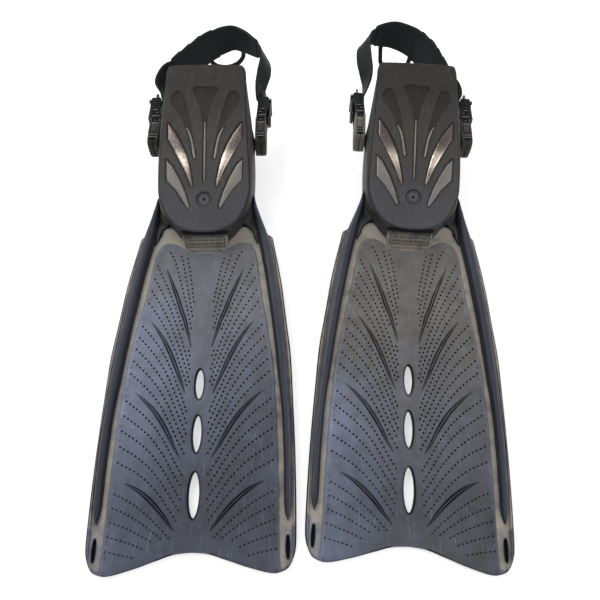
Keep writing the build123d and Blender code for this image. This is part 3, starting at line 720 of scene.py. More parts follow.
def dot_rows():
    dots = []
    for line in ROOT_ROWS:
        dots += dots_along(catmull(line, 8), 6.2, 11.5)
    t = np.linspace(0, 1, 120)
    for k, (count, reach, least_x) in enumerate(RIB_GAPS):
        first, second = (resample(catmull(rib, 8), 1.0) for rib in RIBS[k:k + 2])
        first = interp_rows(t, np.linspace(0, 1, len(first)), first)
        second = interp_rows(t, np.linspace(0, 1, len(second)), second)
        for j in range(count):
            share = (j + 1) / (count + 1)
            row = first * (1 - share) + second * share
            row = np.vstack([beyond(row[0], row[6], 26), row, beyond(row[-1], row[-6], reach)])
            dots += dots_along(row, 6.0 - 0.35 * k, least_x, 6.0)
    for j, end in enumerate(TIP_ROW_ENDS):
        x0, y0 = 88 + j, -327.6 - 14.6 * j
        x = np.linspace(x0, end, 60)
        y = y0 - (0.40 - 0.055 * j) * (x0 - x) - (0.0052 - 0.0010 * j) * (x0 - x) ** 2
        dots += dots_along(np.stack([x, y], 1), 4.9, 12)
    return clear_dots(dots)


def clear_dots(dots):
    """Leaves out dots too near to another one, to a rib or to a vent."""
    kept = []
    for dot in dots:
        p = np.array(dot[:2])
        crowded = any(np.linalg.norm(p - np.array(other[:2])) < 3.4 for other in kept)
        on_rib = any(distance(catmull(rib, 4), p[None], False)[0] < 4.6 for rib in RIBS)
        by_vent = any(abs(p[0]) < half + 5 and abs(p[1] - y) < length / 2 + 5
                      for y, length, half in VENTS)
        if not (crowded or on_rib or by_vent):
            kept.append(dot)
    return kept


# ---------------------------------------------------------------- blade
LOW = -2.2    # height of the channel floor and of the covered root


def towards_axis(line, dist):
    """Line that runs towards the tip, moved to its right-hand side."""
    return line - normals(line) * dist


def channel_line():
    """Outer side of the channel round the panel."""
    rail = [(x + 0.9, y) for x, y in reversed(RAIL_OUT) if -352 < y < 34]
    return resample(catmull(rail + CHANNEL_CORNER, 4), 2.8)


def rib_lines():
    """Centre line of each rib, and its strength from 0 to 1 along it."""
    lines = [resample(catmull(rib, 6), 1.6) for rib in RIBS]
    return [(line, np.sin(math.pi * (0.02 + 0.96 * np.linspace(0, 1, len(line)))) ** 0.75)
            for line in lines]


def blade_sheet(channel, ribs, dots):
    root = resample(catmull(BLADE_ROOT, 4), 3.0)
    outline = close_half(np.vstack([root, resample(catmull(BLADE, 5), 3.2)]))
    sheet = Sheet(outline)
    edge = resample(catmull(BLADE, 6), 2.6)
    for d in (0.5, 1.2, 2.1):
        line = towards_axis(edge, d)
        line = line[(line[:, 1] < 50) & (line[:, 0] > 0.2)]
        sheet.line(line)
        sheet.line(flip(line))
    panel = resample(catmull(PANEL, 5), 2.6)
    for d in (-1.0, -0.45, 0.1, 0.8, 1.8):
        line = towards_axis(panel, d)
        line = line[line[:, 0] > 0.05]
        line = np.vstack([line[::-1], flip(line)])
        sheet.line(line[inside(outline, line)])
    for d in (0.0, 0.8):
        line = channel + np.array([d, 0]) * np.clip((channel[:, 1] + 404) / 8, 0.15, 1)[:, None]
        line = line[inside(outline, line)]
        sheet.line(line)
        sheet.line(flip(line))
    for line, strength in ribs:
        across = normals(line)
        for sign in (1, -1):
            mirror = np.array([sign, 1])
            sheet.line(line * mirror)
            for w in (-3.1, -2.1, -1.45, -0.7, 0.7, 1.45, 2.1, 3.1):
                sheet.line((line + across * (w * strength)[:, None])[1:-1] * mirror)
    for y, length, half in VENTS:
        sheet.hole(ellipse(0, y, half, length / 2, 56, 1.15))
        for g in (0.6, 1.3, 2.2, 3.2):
            sheet.loop(ellipse(0, y, half + g, length / 2 + g, 56, 1.1))
    for sign in (1, -1):
        for g, count in ((0, 24), (-0.25, 24), (0.6, 28), (1.4, 28), (2.2, 28)):
            sheet.loop(ellipse(sign * SLOT_X, SLOT_Y, SLOT_HALF + g, SLOT_LENGTH / 2 + g, count))
    for x, y, way_x, way_y in dots:
        for sign in (1, -1):
            turn = math.atan2(way_y, way_x * sign) + math.pi / 2
            sheet.loop(ellipse(sign * x, y, 0.72, 1.1, 6, 1.0, turn))
            sheet.loop(ellipse(sign * x, y, 1.32, 1.7, 6, 1.0, turn))
            sheet.dots([(sign * x, y)])
    sheet.build(4.6, 1.5)
    return sheet


def press_ribs(ribs, half, from_panel, height, shade_paint):
    """Ridges between two grooves, with painted shade in the grooves; returns how near each point is
    to a crest, for a painted highlight along it.
    """
    a, y = half.T
    crest = np.zeros(len(half))
    for line, strength in ribs:
        box = (y < line[0, 1] + 8) & (y > line[-1, 1] - 8)
        box &= (a > line[:, 0].min() - 8) & (a < line[:, 0].max() + 8)
        near = np.nonzero(box)[0]
        j = np.linalg.norm(half[near][:, None] - line[None], axis=2).argmin(1)
        offset, across = half[near] - line[j], normals(line)[j]
        w = np.abs((offset * across).sum(1))
        past = np.abs((offset * np.stack([across[:, 1], -across[:, 0]], 1)).sum(1))
        s = strength[j]
        width = np.maximum(s, 0.15)
        at_end = (j == 0) | (j == len(line) - 1)
        fade = np.where(at_end, np.clip(1 - past / 1.6, 0, 1), 1.0)
        ridge = 1.5 * s * bell(w, 0.62 * width)
        groove = 1.7 * s * bell(w - 1.62 * width, 0.62 * width)
        height[near] += (ridge - groove) * fade * (from_panel[near] > 0.5)
        groove_shade = np.clip(s * 2.0, 0, 1.3) * bell(w - 1.5 * width, 0.62 * width) * fade
        shade_paint[near] = np.maximum(shade_paint[near], groove_shade)
        crest[near] = np.maximum(crest[near], s * bell(w, 0.5 * width) * fade)
    return crest


def press_openings(points, height, dust_scuff_and_sheen, shade_paint):
    """Raised rims round the vents, and the two sunk slots by the tip corners, with painted shade
    round the vents and in the slots.
    """
    x, y = points.T
    for vent_y, length, half in VENTS:
        near = (np.abs(x) < half + 8) & (np.abs(y - vent_y) < length / 2 + 8)
        d = distance(ellipse(0, vent_y, half, length / 2, 72, 1.15), points[near])
        height[near] += bell(d - 1.4, 0.8) - bell(d, 0.55) - 0.5 * bell(d - 3.0, 0.7)
        shade_paint[near] = np.maximum(shade_paint[near], np.clip(1.7 - d / 1.25, 0, 1.3))
    for sign in (1, -1):
        slot = ellipse(sign * SLOT_X, SLOT_Y, SLOT_HALF, SLOT_LENGTH / 2, 30)
        near = (np.abs(x - sign * SLOT_X) < 7) & (np.abs(y - SLOT_Y) < SLOT_LENGTH / 2 + 6)
        d = distance(slot, points[near])
        sunk = inside(slot, points[near])
        height[near] += np.where(sunk, 0, 0.9 * bell(d - 1.0, 0.7)) - 0.5 * bell(d, 0.4)
        height[near] = np.where(sunk & (d > 0.12), -4.6, height[near])
        shade_paint[near] = np.where(sunk, 1.4, np.maximum(shade_paint[near], np.clip(1.2 - d, 0, 1)))
        dust_scuff_and_sheen[near] *= np.where(sunk, 0, smooth((d - 1.0) / 1.2))


# painted light along the blade: brightness of the face by y, darker towards the tip
SHADED_TONE_Y = [-410, -385, -350, -310, -270, -230, -190, -150, -110, -70, -30, 0]
SHADED_TONE = {
    "left": [.072, .072, .058, .072, .100, .120, .135, .142, .150, .150, .128, .128],
    "right": [.088, .088, .080, .098, .114, .122, .118, .118, .136, .136, .128, .128]}


def blade_light_and_tone(side, points, from_panel, crest):
    """Painted light on the face, with the plastic's own random tone: darker towards the tip, lighter
    on one side, painted highlights on the bead and the rib crests, and cooler towards the tip; the
    two fins differ.
    """
    y = points[:, 1]
    sign = 1.0 if side == "left" else -1.0
    across = points[:, 0] * sign / 95.0    # -1 to 1 towards the row's +X on either fin
    minus, plus = np.clip(-across, 0, 1), np.clip(across, 0, 1)

    def tipwards(start, run):
        return smooth((-y - start) / run)

    # painted light: lighter on the row's -X side towards the tip, mostly darker on the other side;
    # cooler towards the tip and on the -X side
    if side == "left":
        gain = (1 + 0.72 * minus ** 1.6 * tipwards(40, 120) + 0.22 * plus ** 2 * tipwards(260, 80)
                - 0.30 * plus ** 1.5 * tipwards(130, 80) * smooth((330 + y) / 60))
        cool = (0.52 + 0.40 * tipwards(60, 240) + 0.45 * minus * tipwards(30, 80)
                - 0.35 * plus * smooth((150 + y) / 120))
    else:
        gain = (1 + 0.85 * minus ** 2 * tipwards(150, 120)
                - 0.22 * plus ** 1.5 * tipwards(150, 90))
        cool = 0.02 + 0.62 * tipwards(90, 240) + 0.5 * minus * tipwards(150, 90)
    # the plastic's own tone, varying at random
    broad = noise_over(points, 26.0, 40.0, 3.1 * sign)
    fine = noise_over(points, 7.0, 13.0, 9.7 * sign)
    blots = noise_over(points, 12.0, 12.0, 17.3 * sign, lambda p: noise.fractal(p, 0.7, 2.1, 4))
    # painted highlight on the bead round the panel and along the rib crests; the bead is also cooler
    bead = bell(from_panel - 1.7, 1.2) * tipwards(-20, 10)
    tone = np.interp(y, SHADED_TONE_Y, SHADED_TONE[side]) * gain
    tone = tone * (1 + 0.16 * broad + 0.08 * fine + 0.20 * blots)
    tone = tone * (1 + 0.22 * bead + 0.45 * crest)
    return tone, np.clip(cool + 0.25 * bead + 0.25 * blots, 0, 1)


def make_blade():
    channel, ribs, dots = channel_line(), rib_lines(), dot_rows()
    sheet = blade_sheet(channel, ribs, dots)
    points = sheet.points
    y = points[:, 1]
    a = np.abs(points[:, 0])
    half = np.stack([a, y], 1)
    n = len(points)

    # raised panel with a bead, the channel round it and the flange outside
    panel = np.vstack([resample(catmull(PANEL, 5), 2.0), [(96.5, -420), (0, -420)]])
    from_panel = signed(close_half(panel), points)
    height = LOW + 2.2 * smooth((from_panel + 1.0) / 1.9) + 0.55 * bell(from_panel - 2.0, 1.6)
    bottom = y < -403.5
    outside = np.where(y > -403.5, a - np.interp(-y, -channel[:, 1], channel[:, 0]), 1.0)
    flange = np.where(bottom, smooth((-403.0 - y) / 1.5), smooth(outside / 0.8))
    height = np.where(from_panel < 1.0, np.maximum(height, LOW + (0.3 - LOW) * flange), height)
    dust_scuff_and_sheen = np.where(from_panel < -0.3, 1.0, np.clip(1 - (from_panel + 0.3) / 1.2, 0, 1) * 0.75)
    dust_scuff_and_sheen = dust_scuff_and_sheen * (1 - 0.1 * smooth((-y - 60) / 200) * (outside > 0))

    # webs that rise into the pocket rubber
    height = height + 5.0 * smooth((y + 9) / 24) * (from_panel < -1.0) * (a < 62) * (a > 24)

    # rounded edge with a slight lip
    from_edge = distance(resample(catmull(BLADE, 5), 2.0), half, False)
    lip = smooth(1 - np.abs(from_edge - 0.9) / 0.9)
    height = height + 0.5 * lip * (y > -395) - 1.5 * (1 - smooth(from_edge / 1.4))
    dust_scuff_and_sheen = dust_scuff_and_sheen * smooth((from_edge - 1.0) / 0.8) * np.interp(y, (-90, -45), (1.0, 1.7))
    under = smooth((y - table(ARCH, a) + 1.0) / 1.5) * (a < 70)
    dust_scuff_and_sheen = dust_scuff_and_sheen * (1 - under)

    # painted shade: a dark line all round the edge, painted shade along the lower edge of the rubber
    # over the root, and dark lines along the panel's border
    edge_shade = (1 - smooth((from_edge - 1.45) / 0.6)) * np.where(y < -395, 0.45, 1.0) * (a > 20)
    shade_paint = np.maximum(0.6 * under, edge_shade)
    dust_scuff_and_sheen = dust_scuff_and_sheen * (1 - np.clip(edge_shade * 1.3, 0, 1))
    shade_paint = np.maximum(shade_paint, 0.34 * bell(from_panel - 3.7, 0.55) + 0.22 * bell(from_panel + 0.2, 0.4))
    corner = (y < -362) & (a > 109.5)
    dust_scuff_and_sheen = np.where(corner | bottom, dust_scuff_and_sheen * 0.15, dust_scuff_and_sheen)
    height = height - 0.5 * smooth(1 - from_edge / 5.0) * ((y < -386) & (a < 108))

    crest = press_ribs(ribs, half, from_panel, height, shade_paint)
    press_openings(points, height, dust_scuff_and_sheen, shade_paint)
    # pits, darkened with dirt and painted shade, more so away from the tip
    marks = np.array([(sign * x, dot_y) for x, dot_y, *_ in dots for sign in (1, -1)])
    hit = nearest_squared(points, marks, 4) < 1.2 ** 2
    height[hit] -= 1.1
    shade_paint[hit] = np.interp(y[hit], (-400, -330, -240), (0.45, 0.6, 1.3))

    # the part under the foot pocket is flat
    height = np.where((y > 18) | ((a < 22) & (y > -21)), LOW, height)
    back = -5.6 + 1.6 * (1 - smooth(from_edge / 1.6))
    back = back + 0.5 * smooth(1 - np.abs(from_edge - 2.4) / 1.0)

    # painted light and the plastic's own tone, for each fin
    tints = {side: blade_light_and_tone(side, points, from_panel, crest) for side in SIDES}
    add_piece("blade_body", sheet.solid(height, back), "fin", "blade_plastic", "blade", 35, {
        "dust_scuff_and_sheen": np.r_[dust_scuff_and_sheen, dust_scuff_and_sheen * 0.4],
        "painted_shade": np.r_[shade_paint, np.zeros(n)],
        "tone": {side: np.r_[tone, tone * 0.9] for side, (tone, _) in tints.items()},
        "cool": {side: np.r_[cool, cool] for side, (_, cool) in tints.items()}})


make_blade()


# ---------------------------------------------------------------- side rails
RAIL_POINTS = 20


def make_rails():
    turn = np.array([k / RAIL_POINTS * 2 * math.pi for k in range(RAIL_POINTS)])
    # rounded top, flatter flanks
    px = np.sign(np.cos(turn)) * np.abs(np.cos(turn)) ** 0.72
    pz = np.sign(np.sin(turn)) * np.abs(np.sin(turn)) ** 0.8
    ys = np.r_[np.linspace(56, 6, 22), np.linspace(2, -330, 84), np.linspace(-334, -358.3, 16)]
    rings = []
    for y in ys:
        x0, x1 = by_y(RAIL_IN, y), by_y(RAIL_OUT + [(63.9, 57)], y)
        top, low = soft(RAIL_TOP, y, 14), soft(RAIL_LOW, y, 14)
        centre, half = (x0 + x1) / 2, max((x1 - x0) / 2, 1.2)
        if y < -336:
            # blunt round end towards the tip
            end = math.sqrt(max(1 - ((-340 - y) / 18.6) ** 2, 0.0)) if y < -340 else 1.0
            half = min(half, 4.9) * (0.2 + 0.8 * end)
            top = -1.8 + (top + 1.8) * (0.25 + 0.75 * end)
        if y > 26:
            # the upper end dies away round on the pocket's flank
            k = math.sqrt(max(1 - ((y - 26) / 30.5) ** 2, 0.02))
            mid = (top + low) / 2
            top, low = mid + (top - mid) * k, mid + (low - mid) * k
            waist = low + (top - low) * 0.6
        else:
            waist = -3.0 + (top - 8.0) * smooth((y - 4) / 40)
        # the crest leans to the outer side
        x = centre + px * (half - 0.25) + 0.16 * half * np.clip(pz, 0, 1) * (1 - np.abs(px))
        z = np.where(pz > 0, waist + pz * (top - waist), waist + pz * (waist - low))
        rings.append(np.stack([x, np.full(RAIL_POINTS, y), z], 1))
    # painted shade on the inner half of the rail, darkest on its inner flank; painted highlight on
    # the outer half, with a lighter line along the outer edge
    shade_paint = 0.16 * smooth((-px + 0.12) / 0.25) + 0.34 * smooth((-px - 0.45) / 0.2)
    dust_scuff_and_sheen = np.where(px > 0.15, 0.30, 0.0) + np.where(px > 0.95, 0.2, 0.0)
    attributes = {"dust_scuff_and_sheen": np.tile(dust_scuff_and_sheen, len(ys)), "painted_shade": np.tile(shade_paint, len(ys))}
    skin = loft(rings)
    for tag, part in (("inner", skin), ("outer", flip_skin(skin))):
        add_piece(f"rail_{tag}_skin", part, "fin", "rail_rubber", f"side_rail_{tag}", 50,
                  attributes)


make_rails()


# ---------------------------------------------------------------- foot pocket
# half widths of the outside and of the cavity, (y, x)
POCKET_W = [
    (-22.4, 26.0), (-21, 27.0), (-16, 28.2), (-10, 30), (-5, 34), (0, 38.5), (8, 44), (14, 51),
    (20, 57), (26, 59.6), (33, 61), (45, 62.5), (57, 63.4), (75, 64), (100, 64), (120, 63.5),
    (140, 62.5), (160, 60.5), (180, 58), (200, 55.5), (215, 53.8), (222, 52.4), (226, 50.5)]
CAVITY_W = [
    (6, 8), (7, 15), (12, 30), (22, 42), (36, 50), (52, 54.5), (75, 56), (100, 56),
    (120, 55.5), (140, 54), (160, 52), (180, 50), (200, 48), (215, 46.5), (230, 46)]
# lowest heights of the outside and of the cavity, and the rim of the opening, (y, z)
INSTEP = [
    (-22.4, -6), (-4, -8), (10, -17), (40, -22), (80, -29), (110, -33), (130, -34), (226, -34)]
CAVITY_LOW = [(6, -4), (10, -10), (40, -16), (80, -22), (110, -26), (131, -27), (230, -27)]
WALL = [(131, -34), (136, -30), (146, -14), (160, 10), (180, 34), (205, 50), (232, 58)]
# sections at fixed y; from FREE_START on they spread out to the rim
OUTER_YS = [
    -22.4, -21.4, -20, -17.5, -15, -12.5, -10.4, -9.2, -8.2, -6.5, -4, -1, 2, 5, 8, 11, 14, 17,
    20, 24, 28, 33, 39, 46, 54, 62, 70, 78, 86, 94, 102]
CAVITY_YS = [6.2, 7, 8.5, 10.5, 13, 16, 20, 24, 28, 33, 39, 46, 54, 62, 70, 78, 86, 94, 102]
FREE_START, FREE_END, FREE_ROWS = 102.0, 226.0, 34

# centre of the strap's stud on the flank
STUD_Y, STUD_Z = 128.0, 30.0


def pocket_section(y):
    """Half contour (x, z) of the outside, from the top centre to the bottom centre."""
    w = table(POCKET_W, y)
    low = soft(INSTEP, y, 6) if y > -15 else table(INSTEP, y)
    if y < -8.5:
        top = np.interp(y, (-22.4, -9.0, -8.5), (0.2, 24.0, 24.3))
    else:
        top = sole_z(y) - 4.3
    plate = by_y(PLATE, y) if y > -8 else 0
    hw = min(max(plate, 0.45 * w if y < 5 else 0), w - 1.5)
    # the rubber web beside the plate falls away to the flank
    drop = np.interp(y, (-22.4, -12, 0, 20, 60, 232), (0.2, 1.2, 3, 5, 5, 5))
    h = top - low
    rim, fall = (1.3, 0.6) if y > 6 else (-0.2, -0.9)
    return np.array([
        (0, top), (0.5 * hw, top), (hw - 0.8, top), (hw + 1.1, top + rim), (hw + 2.6, top + fall),
        (hw + 0.72 * (w - hw), top - 0.42 * drop), (w - 0.5, top - 1.4 * drop - 1.0),
        (w, top - min(15, 0.45 * h)), (w, low + 0.42 * h), (w - 0.4, low + min(20, 0.3 * h)),
        (0.93 * w, low + min(9, 0.2 * h)), (0.78 * w, low + min(3.2, 0.1 * h)),
        (0.52 * w, low + min(0.7, 0.03 * h)), (0.25 * w, low), (0, low)])


def cavity_section(y):
    """Half contour (x, z) of the cavity, in the same order."""
    w = table(CAVITY_W, y)
    top = sole_z(y) - 12.2
    low = soft(CAVITY_LOW, y, 6)
    h = top - low
    return np.array([
        (0, top), (0.4 * w, top), (0.62 * w, top - 0.2), (0.78 * w, top - 0.03 * h),
        (0.88 * w, top - 0.08 * h), (0.96 * w, top - 0.18 * h), (0.99 * w, top - 0.30 * h),
        (w, top - 0.42 * h), (w, low + 0.42 * h), (0.985 * w, low + 0.28 * h),
        (0.93 * w, low + 0.15 * h), (0.82 * w, low + 0.07 * h), (0.62 * w, low + 0.02 * h),
        (0.3 * w, low), (0, low)])


def soften(section):
    """Three points for each stretch of the contour, with the corners eased."""
    out = [section[0]]
    for a, b in zip(section[:-1], section[1:]):
        out += [a + (b - a) * k / 3 for k in (1, 2, 3)]
    return relax(np.array(out), 2)


def pocket_rings(section, stations):
    """Closed rings at the stations, then spread out up to the rim of the opening."""
    rows = []
    for y in stations:
        s = soften(section(y))
        rows.append(np.stack([s[:, 0], np.full(len(s), y), s[:, 1]], 1))
    ys = np.arange(FREE_START, FREE_END + 0.01, 1.0)
    sections = np.array([soften(section(y)) for y in ys])
    cut = (ys[:, None] > 131) & (sections[:, :, 1] < table(WALL, ys)[:, None])
    ends = relax(np.where(cut.any(0), ys[cut.argmax(0)], FREE_END), 3)
    for i in range(1, FREE_ROWS + 1):
        at = FREE_START + (ends - FREE_START) * (i / FREE_ROWS)
        rows.append(np.array([(np.interp(y, ys, sections[:, k, 0]), y,
                               np.interp(y, ys, sections[:, k, 1])) for k, y in enumerate(at)]))
    # from the bottom centre over the top and back
    mirror = np.array([-1, 1, 1])
    return [np.vstack([(row[::-1] * mirror)[:-1], row[:-1]]) for row in rows]


def make_pocket():
    outer = pocket_rings(pocket_section, OUTER_YS)
    inner = pocket_rings(cavity_section, CAVITY_YS)
    # the flank swells round the stud
    for ring in outer:
        d = np.hypot(ring[:, 1] - STUD_Y, ring[:, 2] - STUD_Z)
        swell = 2.2 * (1 - smooth((d - 9.0) / 3.5))
        ring[:, 0] += np.sign(ring[:, 0]) * swell * (np.abs(ring[:, 0]) > 56)
    rim = []
    for t, push in ((0.18, 1.5), (0.5, 2.2), (0.82, 1.5)):
        ring = outer[-1] * (1 - t) + inner[-1] * t
        ring[:, 1] += push
        rim.append(ring)
    verts, faces = loft(outer + rim + inner[::-1])
    x, y, z = verts.T
    is_outer = np.arange(len(verts)) < len(outer) * len(outer[0])
    # soft ribs across the instep
    low = (z < -10) & (np.abs(x) < 46) & (y > 20) & (y < 124)
    ripple = 0.5 * np.sin(y / 12 * 2 * math.pi) * smooth((46 - np.abs(x)) / 10)
    z -= np.where(low & is_outer, ripple, 0)
    # painted shade on the inside of the pocket, and a painted shadow under the toe of the sole
    # plate; dust on the toe slope and low down
    shade_paint = np.where(is_outer, 0.0, 0.35)
    shade_paint = np.maximum(shade_paint, np.where((y < -6) & (z > 18), smooth((z - 19) / 4.5) * 1.3, 0))
    dust_scuff_and_sheen = np.where(is_outer & (y < -10), smooth((22 - z) / 6) * 1.35, 0.0)
    dust_scuff_and_sheen = np.maximum(dust_scuff_and_sheen, np.where(is_outer & (z < -20), 0.15, 0.0))
    add_piece("foot_pocket_skin", (verts, faces), "fin", "pocket_rubber", "foot_pocket",
              45, {"dust_scuff_and_sheen": dust_scuff_and_sheen, "painted_shade": shade_paint})


make_pocket()


def make_toe_box():
    """Framed box with blank bars, moulded on the slope in front of the toe."""
    origin = np.array((0, -15.4, 12.7))
    along = np.array((0, -13.4, -23.8))    # down the slope
    along /= np.linalg.norm(along)
    across = np.array((1.0, 0, 0))
    out = np.cross(along, across)
    half_x, half_v, line = 26.0, 8.6, 0.9
    end_v = half_v - 0.95
    # x0, x1, from and to along the slope, height; the frame comes first
    frame = [(-half_x, half_x, -half_v, -half_v + line, 0.75),
             (-half_x, half_x, half_v - line, half_v, 0.75),
             (-half_x, -half_x + line, -end_v, end_v, 0.75),
             (half_x - line, half_x, -end_v, end_v, 0.75)]
    bars = [(-half_x + 2.4, half_x - 2.4, -6.4, -5.0, 0.5)]
    bars += [(-22.6 + i * 9.3, -14.6 + i * 9.3, -3.6, -0.6, 0.55) for i in range(5)]
    bars += [(-22.8 + i * 5.85, -18.0 + i * 5.85, 1.6, 5.6, 0.6) for i in range(8)]
    parts = []
    for x0, x1, v0, v1, h in frame + bars:
        e = min(0.35, (x1 - x0) * 0.2, (v1 - v0) * 0.2)
        parts.append(loft([
            np.array([origin + across * a + along * b + out * level for a, b in
                      ((x0 + g, v0 + g), (x1 - g, v0 + g), (x1 - g, v1 - g), (x0 + g, v1 - g))])
            for level, g in ((-2.4, 0), (h - e, 0), (h, e))]))
    verts, faces = merge(*parts)
    in_bars = np.arange(len(verts)) >= len(frame) * len(parts[0][0])
    # the whole box is darkened with painted shade; the bars carry more dust
    add_piece("toe_size_box", (verts, faces), "fin", "pocket_rubber", sharp=30, attributes={
        "dust_scuff_and_sheen": np.where(in_bars, 0.42, 0.2), "painted_shade": np.full(len(verts), 0.5)})


make_toe_box()


def make_toe_apron():
    """Rubber from the pocket's flank over the root of the blade to the rail."""
    low = catmull(ARCH[2:-1], 5)
    back = catmull([(68.9, -14.2), (67.2, 2), (64.6, 16), (62.0, 30), (61.2, 46)], 6)
    top = np.array([(52.5, 46), (49.5, 30), (43, 17), (37, 9.5), (31.5, 4.0)])
    loop = resample(np.vstack([low, back, top]), 1.5, True)
    sheet = Sheet(loop)
    for g in (0.4, 0.9, 1.6):
        sheet.loop(inset(loop, g))
    sheet.build(2.0, 0.7)
    x, y = sheet.points.T
    web = LOW + 5.0 * smooth((y + 9) / 24)
    gap = np.maximum(x - table(POCKET_W, y), 0)
    from_low = distance(low, sheet.points, False)
    height = web + 1.5 * arc(from_low / 1.6) + 0.25 + 5.0 * smooth((y - 14) / 30)
    height = height + 9.0 * (1 - smooth(gap / 11.0)) ** 2 * smooth((y - 2) / 16)
    # painted shade along the lower edge, where the rubber meets the blade
    shade_paint = np.clip(1.5 - from_low / 1.2, 0, 1) * 1.2
    dust_scuff_and_sheen = 0.42 * (1 - smooth((y + 3) / 22)) * np.clip(from_low / 2.5, 0, 1)
    skin = sheet.solid(height, web - 2.2)
    add_piece("toe_apron", merge(skin, flip_skin(skin)), "fin", "pocket_rubber", attributes={
        "dust_scuff_and_sheen": np.tile(dust_scuff_and_sheen, 4), "painted_shade": np.tile(np.r_[shade_paint, np.zeros(len(shade_paint))], 2)})


make_toe_apron()


# ---------------------------------------------------------------- sole plate and inlays
TRI_LOOP = resample(catmull(TRI_RECESS, 4, True), 1.8, True)
LEAF_LOOP = resample(catmull(LEAF_RECESS, 4, True), 1.8, True)
UPPER_LOOP = inset(resample(UPPER_INSERT, 1.6, True), -0.85)
LOWER_LOOP = resample(LOWER_INSERT, 1.6, True)
STRIP_LOOP = resample(SIDE_STRIP, 1.3, True)
CENTRE_LOOP = resample(CENTRE_STRIP, 1.3, True)
SHALLOW = [TRI_LOOP, *both(LEAF_LOOP)]
SHARP = [*both(UPPER_LOOP), *both(LOWER_LOOP), *both(STRIP_LOOP), CENTRE_LOOP]
# shallow fan grooves between the reliefs, (|x|, y)
FAN_GROOVES = [
    [(14, 60), (18.5, 78), (24, 96), (31, 113), (38, 126), (46, 138), (52, 143)],
    [(10, 66), (10.5, 92), (14.5, 116), (19.5, 140), (26, 164), (33, 185)],
    [(5.5, 66), (5.6, 92), (6.3, 120), (9, 144), (14.5, 168), (20.5, 189)],
    [(22, 40), (27, 52), (34, 67), (42, 83), (51, 96)]]


def make_sole_plate():
    outline = close_half(resample(catmull(PLATE, 6), 2.2))
    plug = ellipse(0, PLUG_Y, PLUG_R, PLUG_R, 44)
    sheet = Sheet(outline)
    for d in (0.35, 0.9, 1.7):
        sheet.loop(inset(outline, d))
    for loop in SHALLOW:
        sheet.loop(loop)
        sheet.loop(inset(loop, 0.9))
    for loop, out, into in [(loop, -0.55, 0.18) for loop in SHARP] + [(plug, -0.7, 0.2)]:
        sheet.loop(inset(loop, out))
        sheet.loop(loop)
        sheet.loop(inset(loop, into))
    sheet.build(2.7, 1.0)
    points = sheet.points
    y = points[:, 1]
    half = np.stack([np.abs(points[:, 0]), y], 1)
    n = len(points)
    relief, shade_paint = np.zeros(n), np.zeros(n)
    # painted shade in the recesses and in the gaps round the inlays and the plug
    for loop in SHALLOW:
        d = signed(loop, points)
        relief += 0.35 * bell(d + 1.0, 0.8) - 1.3 * smooth((d + 0.1) / 1.3)
        shade_paint = np.maximum(shade_paint, smooth((d - 0.1) / 1.0) * 0.42)
    for loop in SHARP + [plug]:
        d = signed(loop, points)
        relief += 0.3 * bell(d + 1.3, 0.8) - 0.25 * bell(d, 0.5) - 1.1 * smooth(d / 0.16)
        shade_paint = np.maximum(shade_paint, np.clip((d + 0.05) / 0.2, 0, 1) * 0.8)
        shade_paint = np.maximum(shade_paint, 1.1 * bell(d + 0.15, 0.6))
    for groove in FAN_GROOVES:
        d = distance(resample(catmull(groove, 6), 1.5), half, False)
        fade = smooth((y - groove[0][1]) / 14) * smooth((groove[-1][1] - y + 4) / 12)
        relief += 0.32 * bell(d, 2.3) * fade
    # rounded border with a thin line moulded inside it
    from_edge = distance(outline, points)
    relief -= 1.0 - arc(from_edge / 1.7) + 0.35 * bell(from_edge - 3.2, 0.45)
    z = sole_z(y)
    tone = 0.066 * np.interp(y, [-8, 20, 60, 110, 150, 185, 215],
                             [1.14, 1.10, 0.92, 0.84, 0.66, 0.42, 0.37])
    tone = tone * (1 + 0.10 * noise_over(points, 22.0, 30.0, 5.5))
    cool = np.interp(y, [-8, 25, 70, 120], [1.0, 0.8, 0.35, 0.0])
    add_piece("sole_plate_skin", sheet.solid(z + relief, z - 4.1), "fin", "sole_rubber",
              "sole_plate", 35, {
                  "dust_scuff_and_sheen": np.zeros(2 * n), "painted_shade": np.r_[shade_paint, np.zeros(n)],
                  "tone": np.r_[tone, tone], "cool": np.r_[cool, cool]})


def tiles(outlines, spacing, dome, gap=0.3):
    """Domed inlays that leave a gap to their recess."""
    parts = []
    for outline in outlines:
        loop = inset(outline, gap)
        sheet = Sheet(loop)
        sheet.loop(inset(loop, 0.35))
        if spacing > 1.2:
            sheet.loop(inset(loop, 0.9))
        sheet.build(spacing, 0.6)
        d = distance(loop, sheet.points)
        z = sole_z(sheet.points[:, 1])
        top = z - 0.30 - 0.45 * (1 - smooth(d / 0.9)) + dome * smooth(d / 4.0)
        parts.append(sheet.solid(top, z - 1.9))
    return merge(*parts)


def make_inlays():
    upper = tiles(both(UPPER_LOOP), 2.0, 0.35)
    y = upper[0][:, 1]
    # painted reflection, brightest across the middle; scuffed towards the heel end
    painted_glint = 0.30 + 1.0 * bell(y - 84, 13.0) + 0.12 * bell(y - 60, 8.0)
    scuff = smooth((y - 92) / 12.0) * 0.8 * (0.6 + 0.4 * np.random.RandomState(3).rand(len(y)))
    add_piece("upper_inlay_skin", upper, "fin", "silver_inlay", "upper_sole_inserts",
              35, {"dust_scuff_and_sheen": scuff, "tone": painted_glint})
    add_piece("lower_inlay_skin", tiles(both(LOWER_LOOP), 2.0, 0.3), "fin", "grey_inlay",
              "lower_sole_inserts", 35)
    add_piece("sole_strip_skin", tiles([*both(STRIP_LOOP), CENTRE_LOOP], 1.1, 0.3, 0.15), "fin",
              "strip_inlay", "sole_strips", 35)


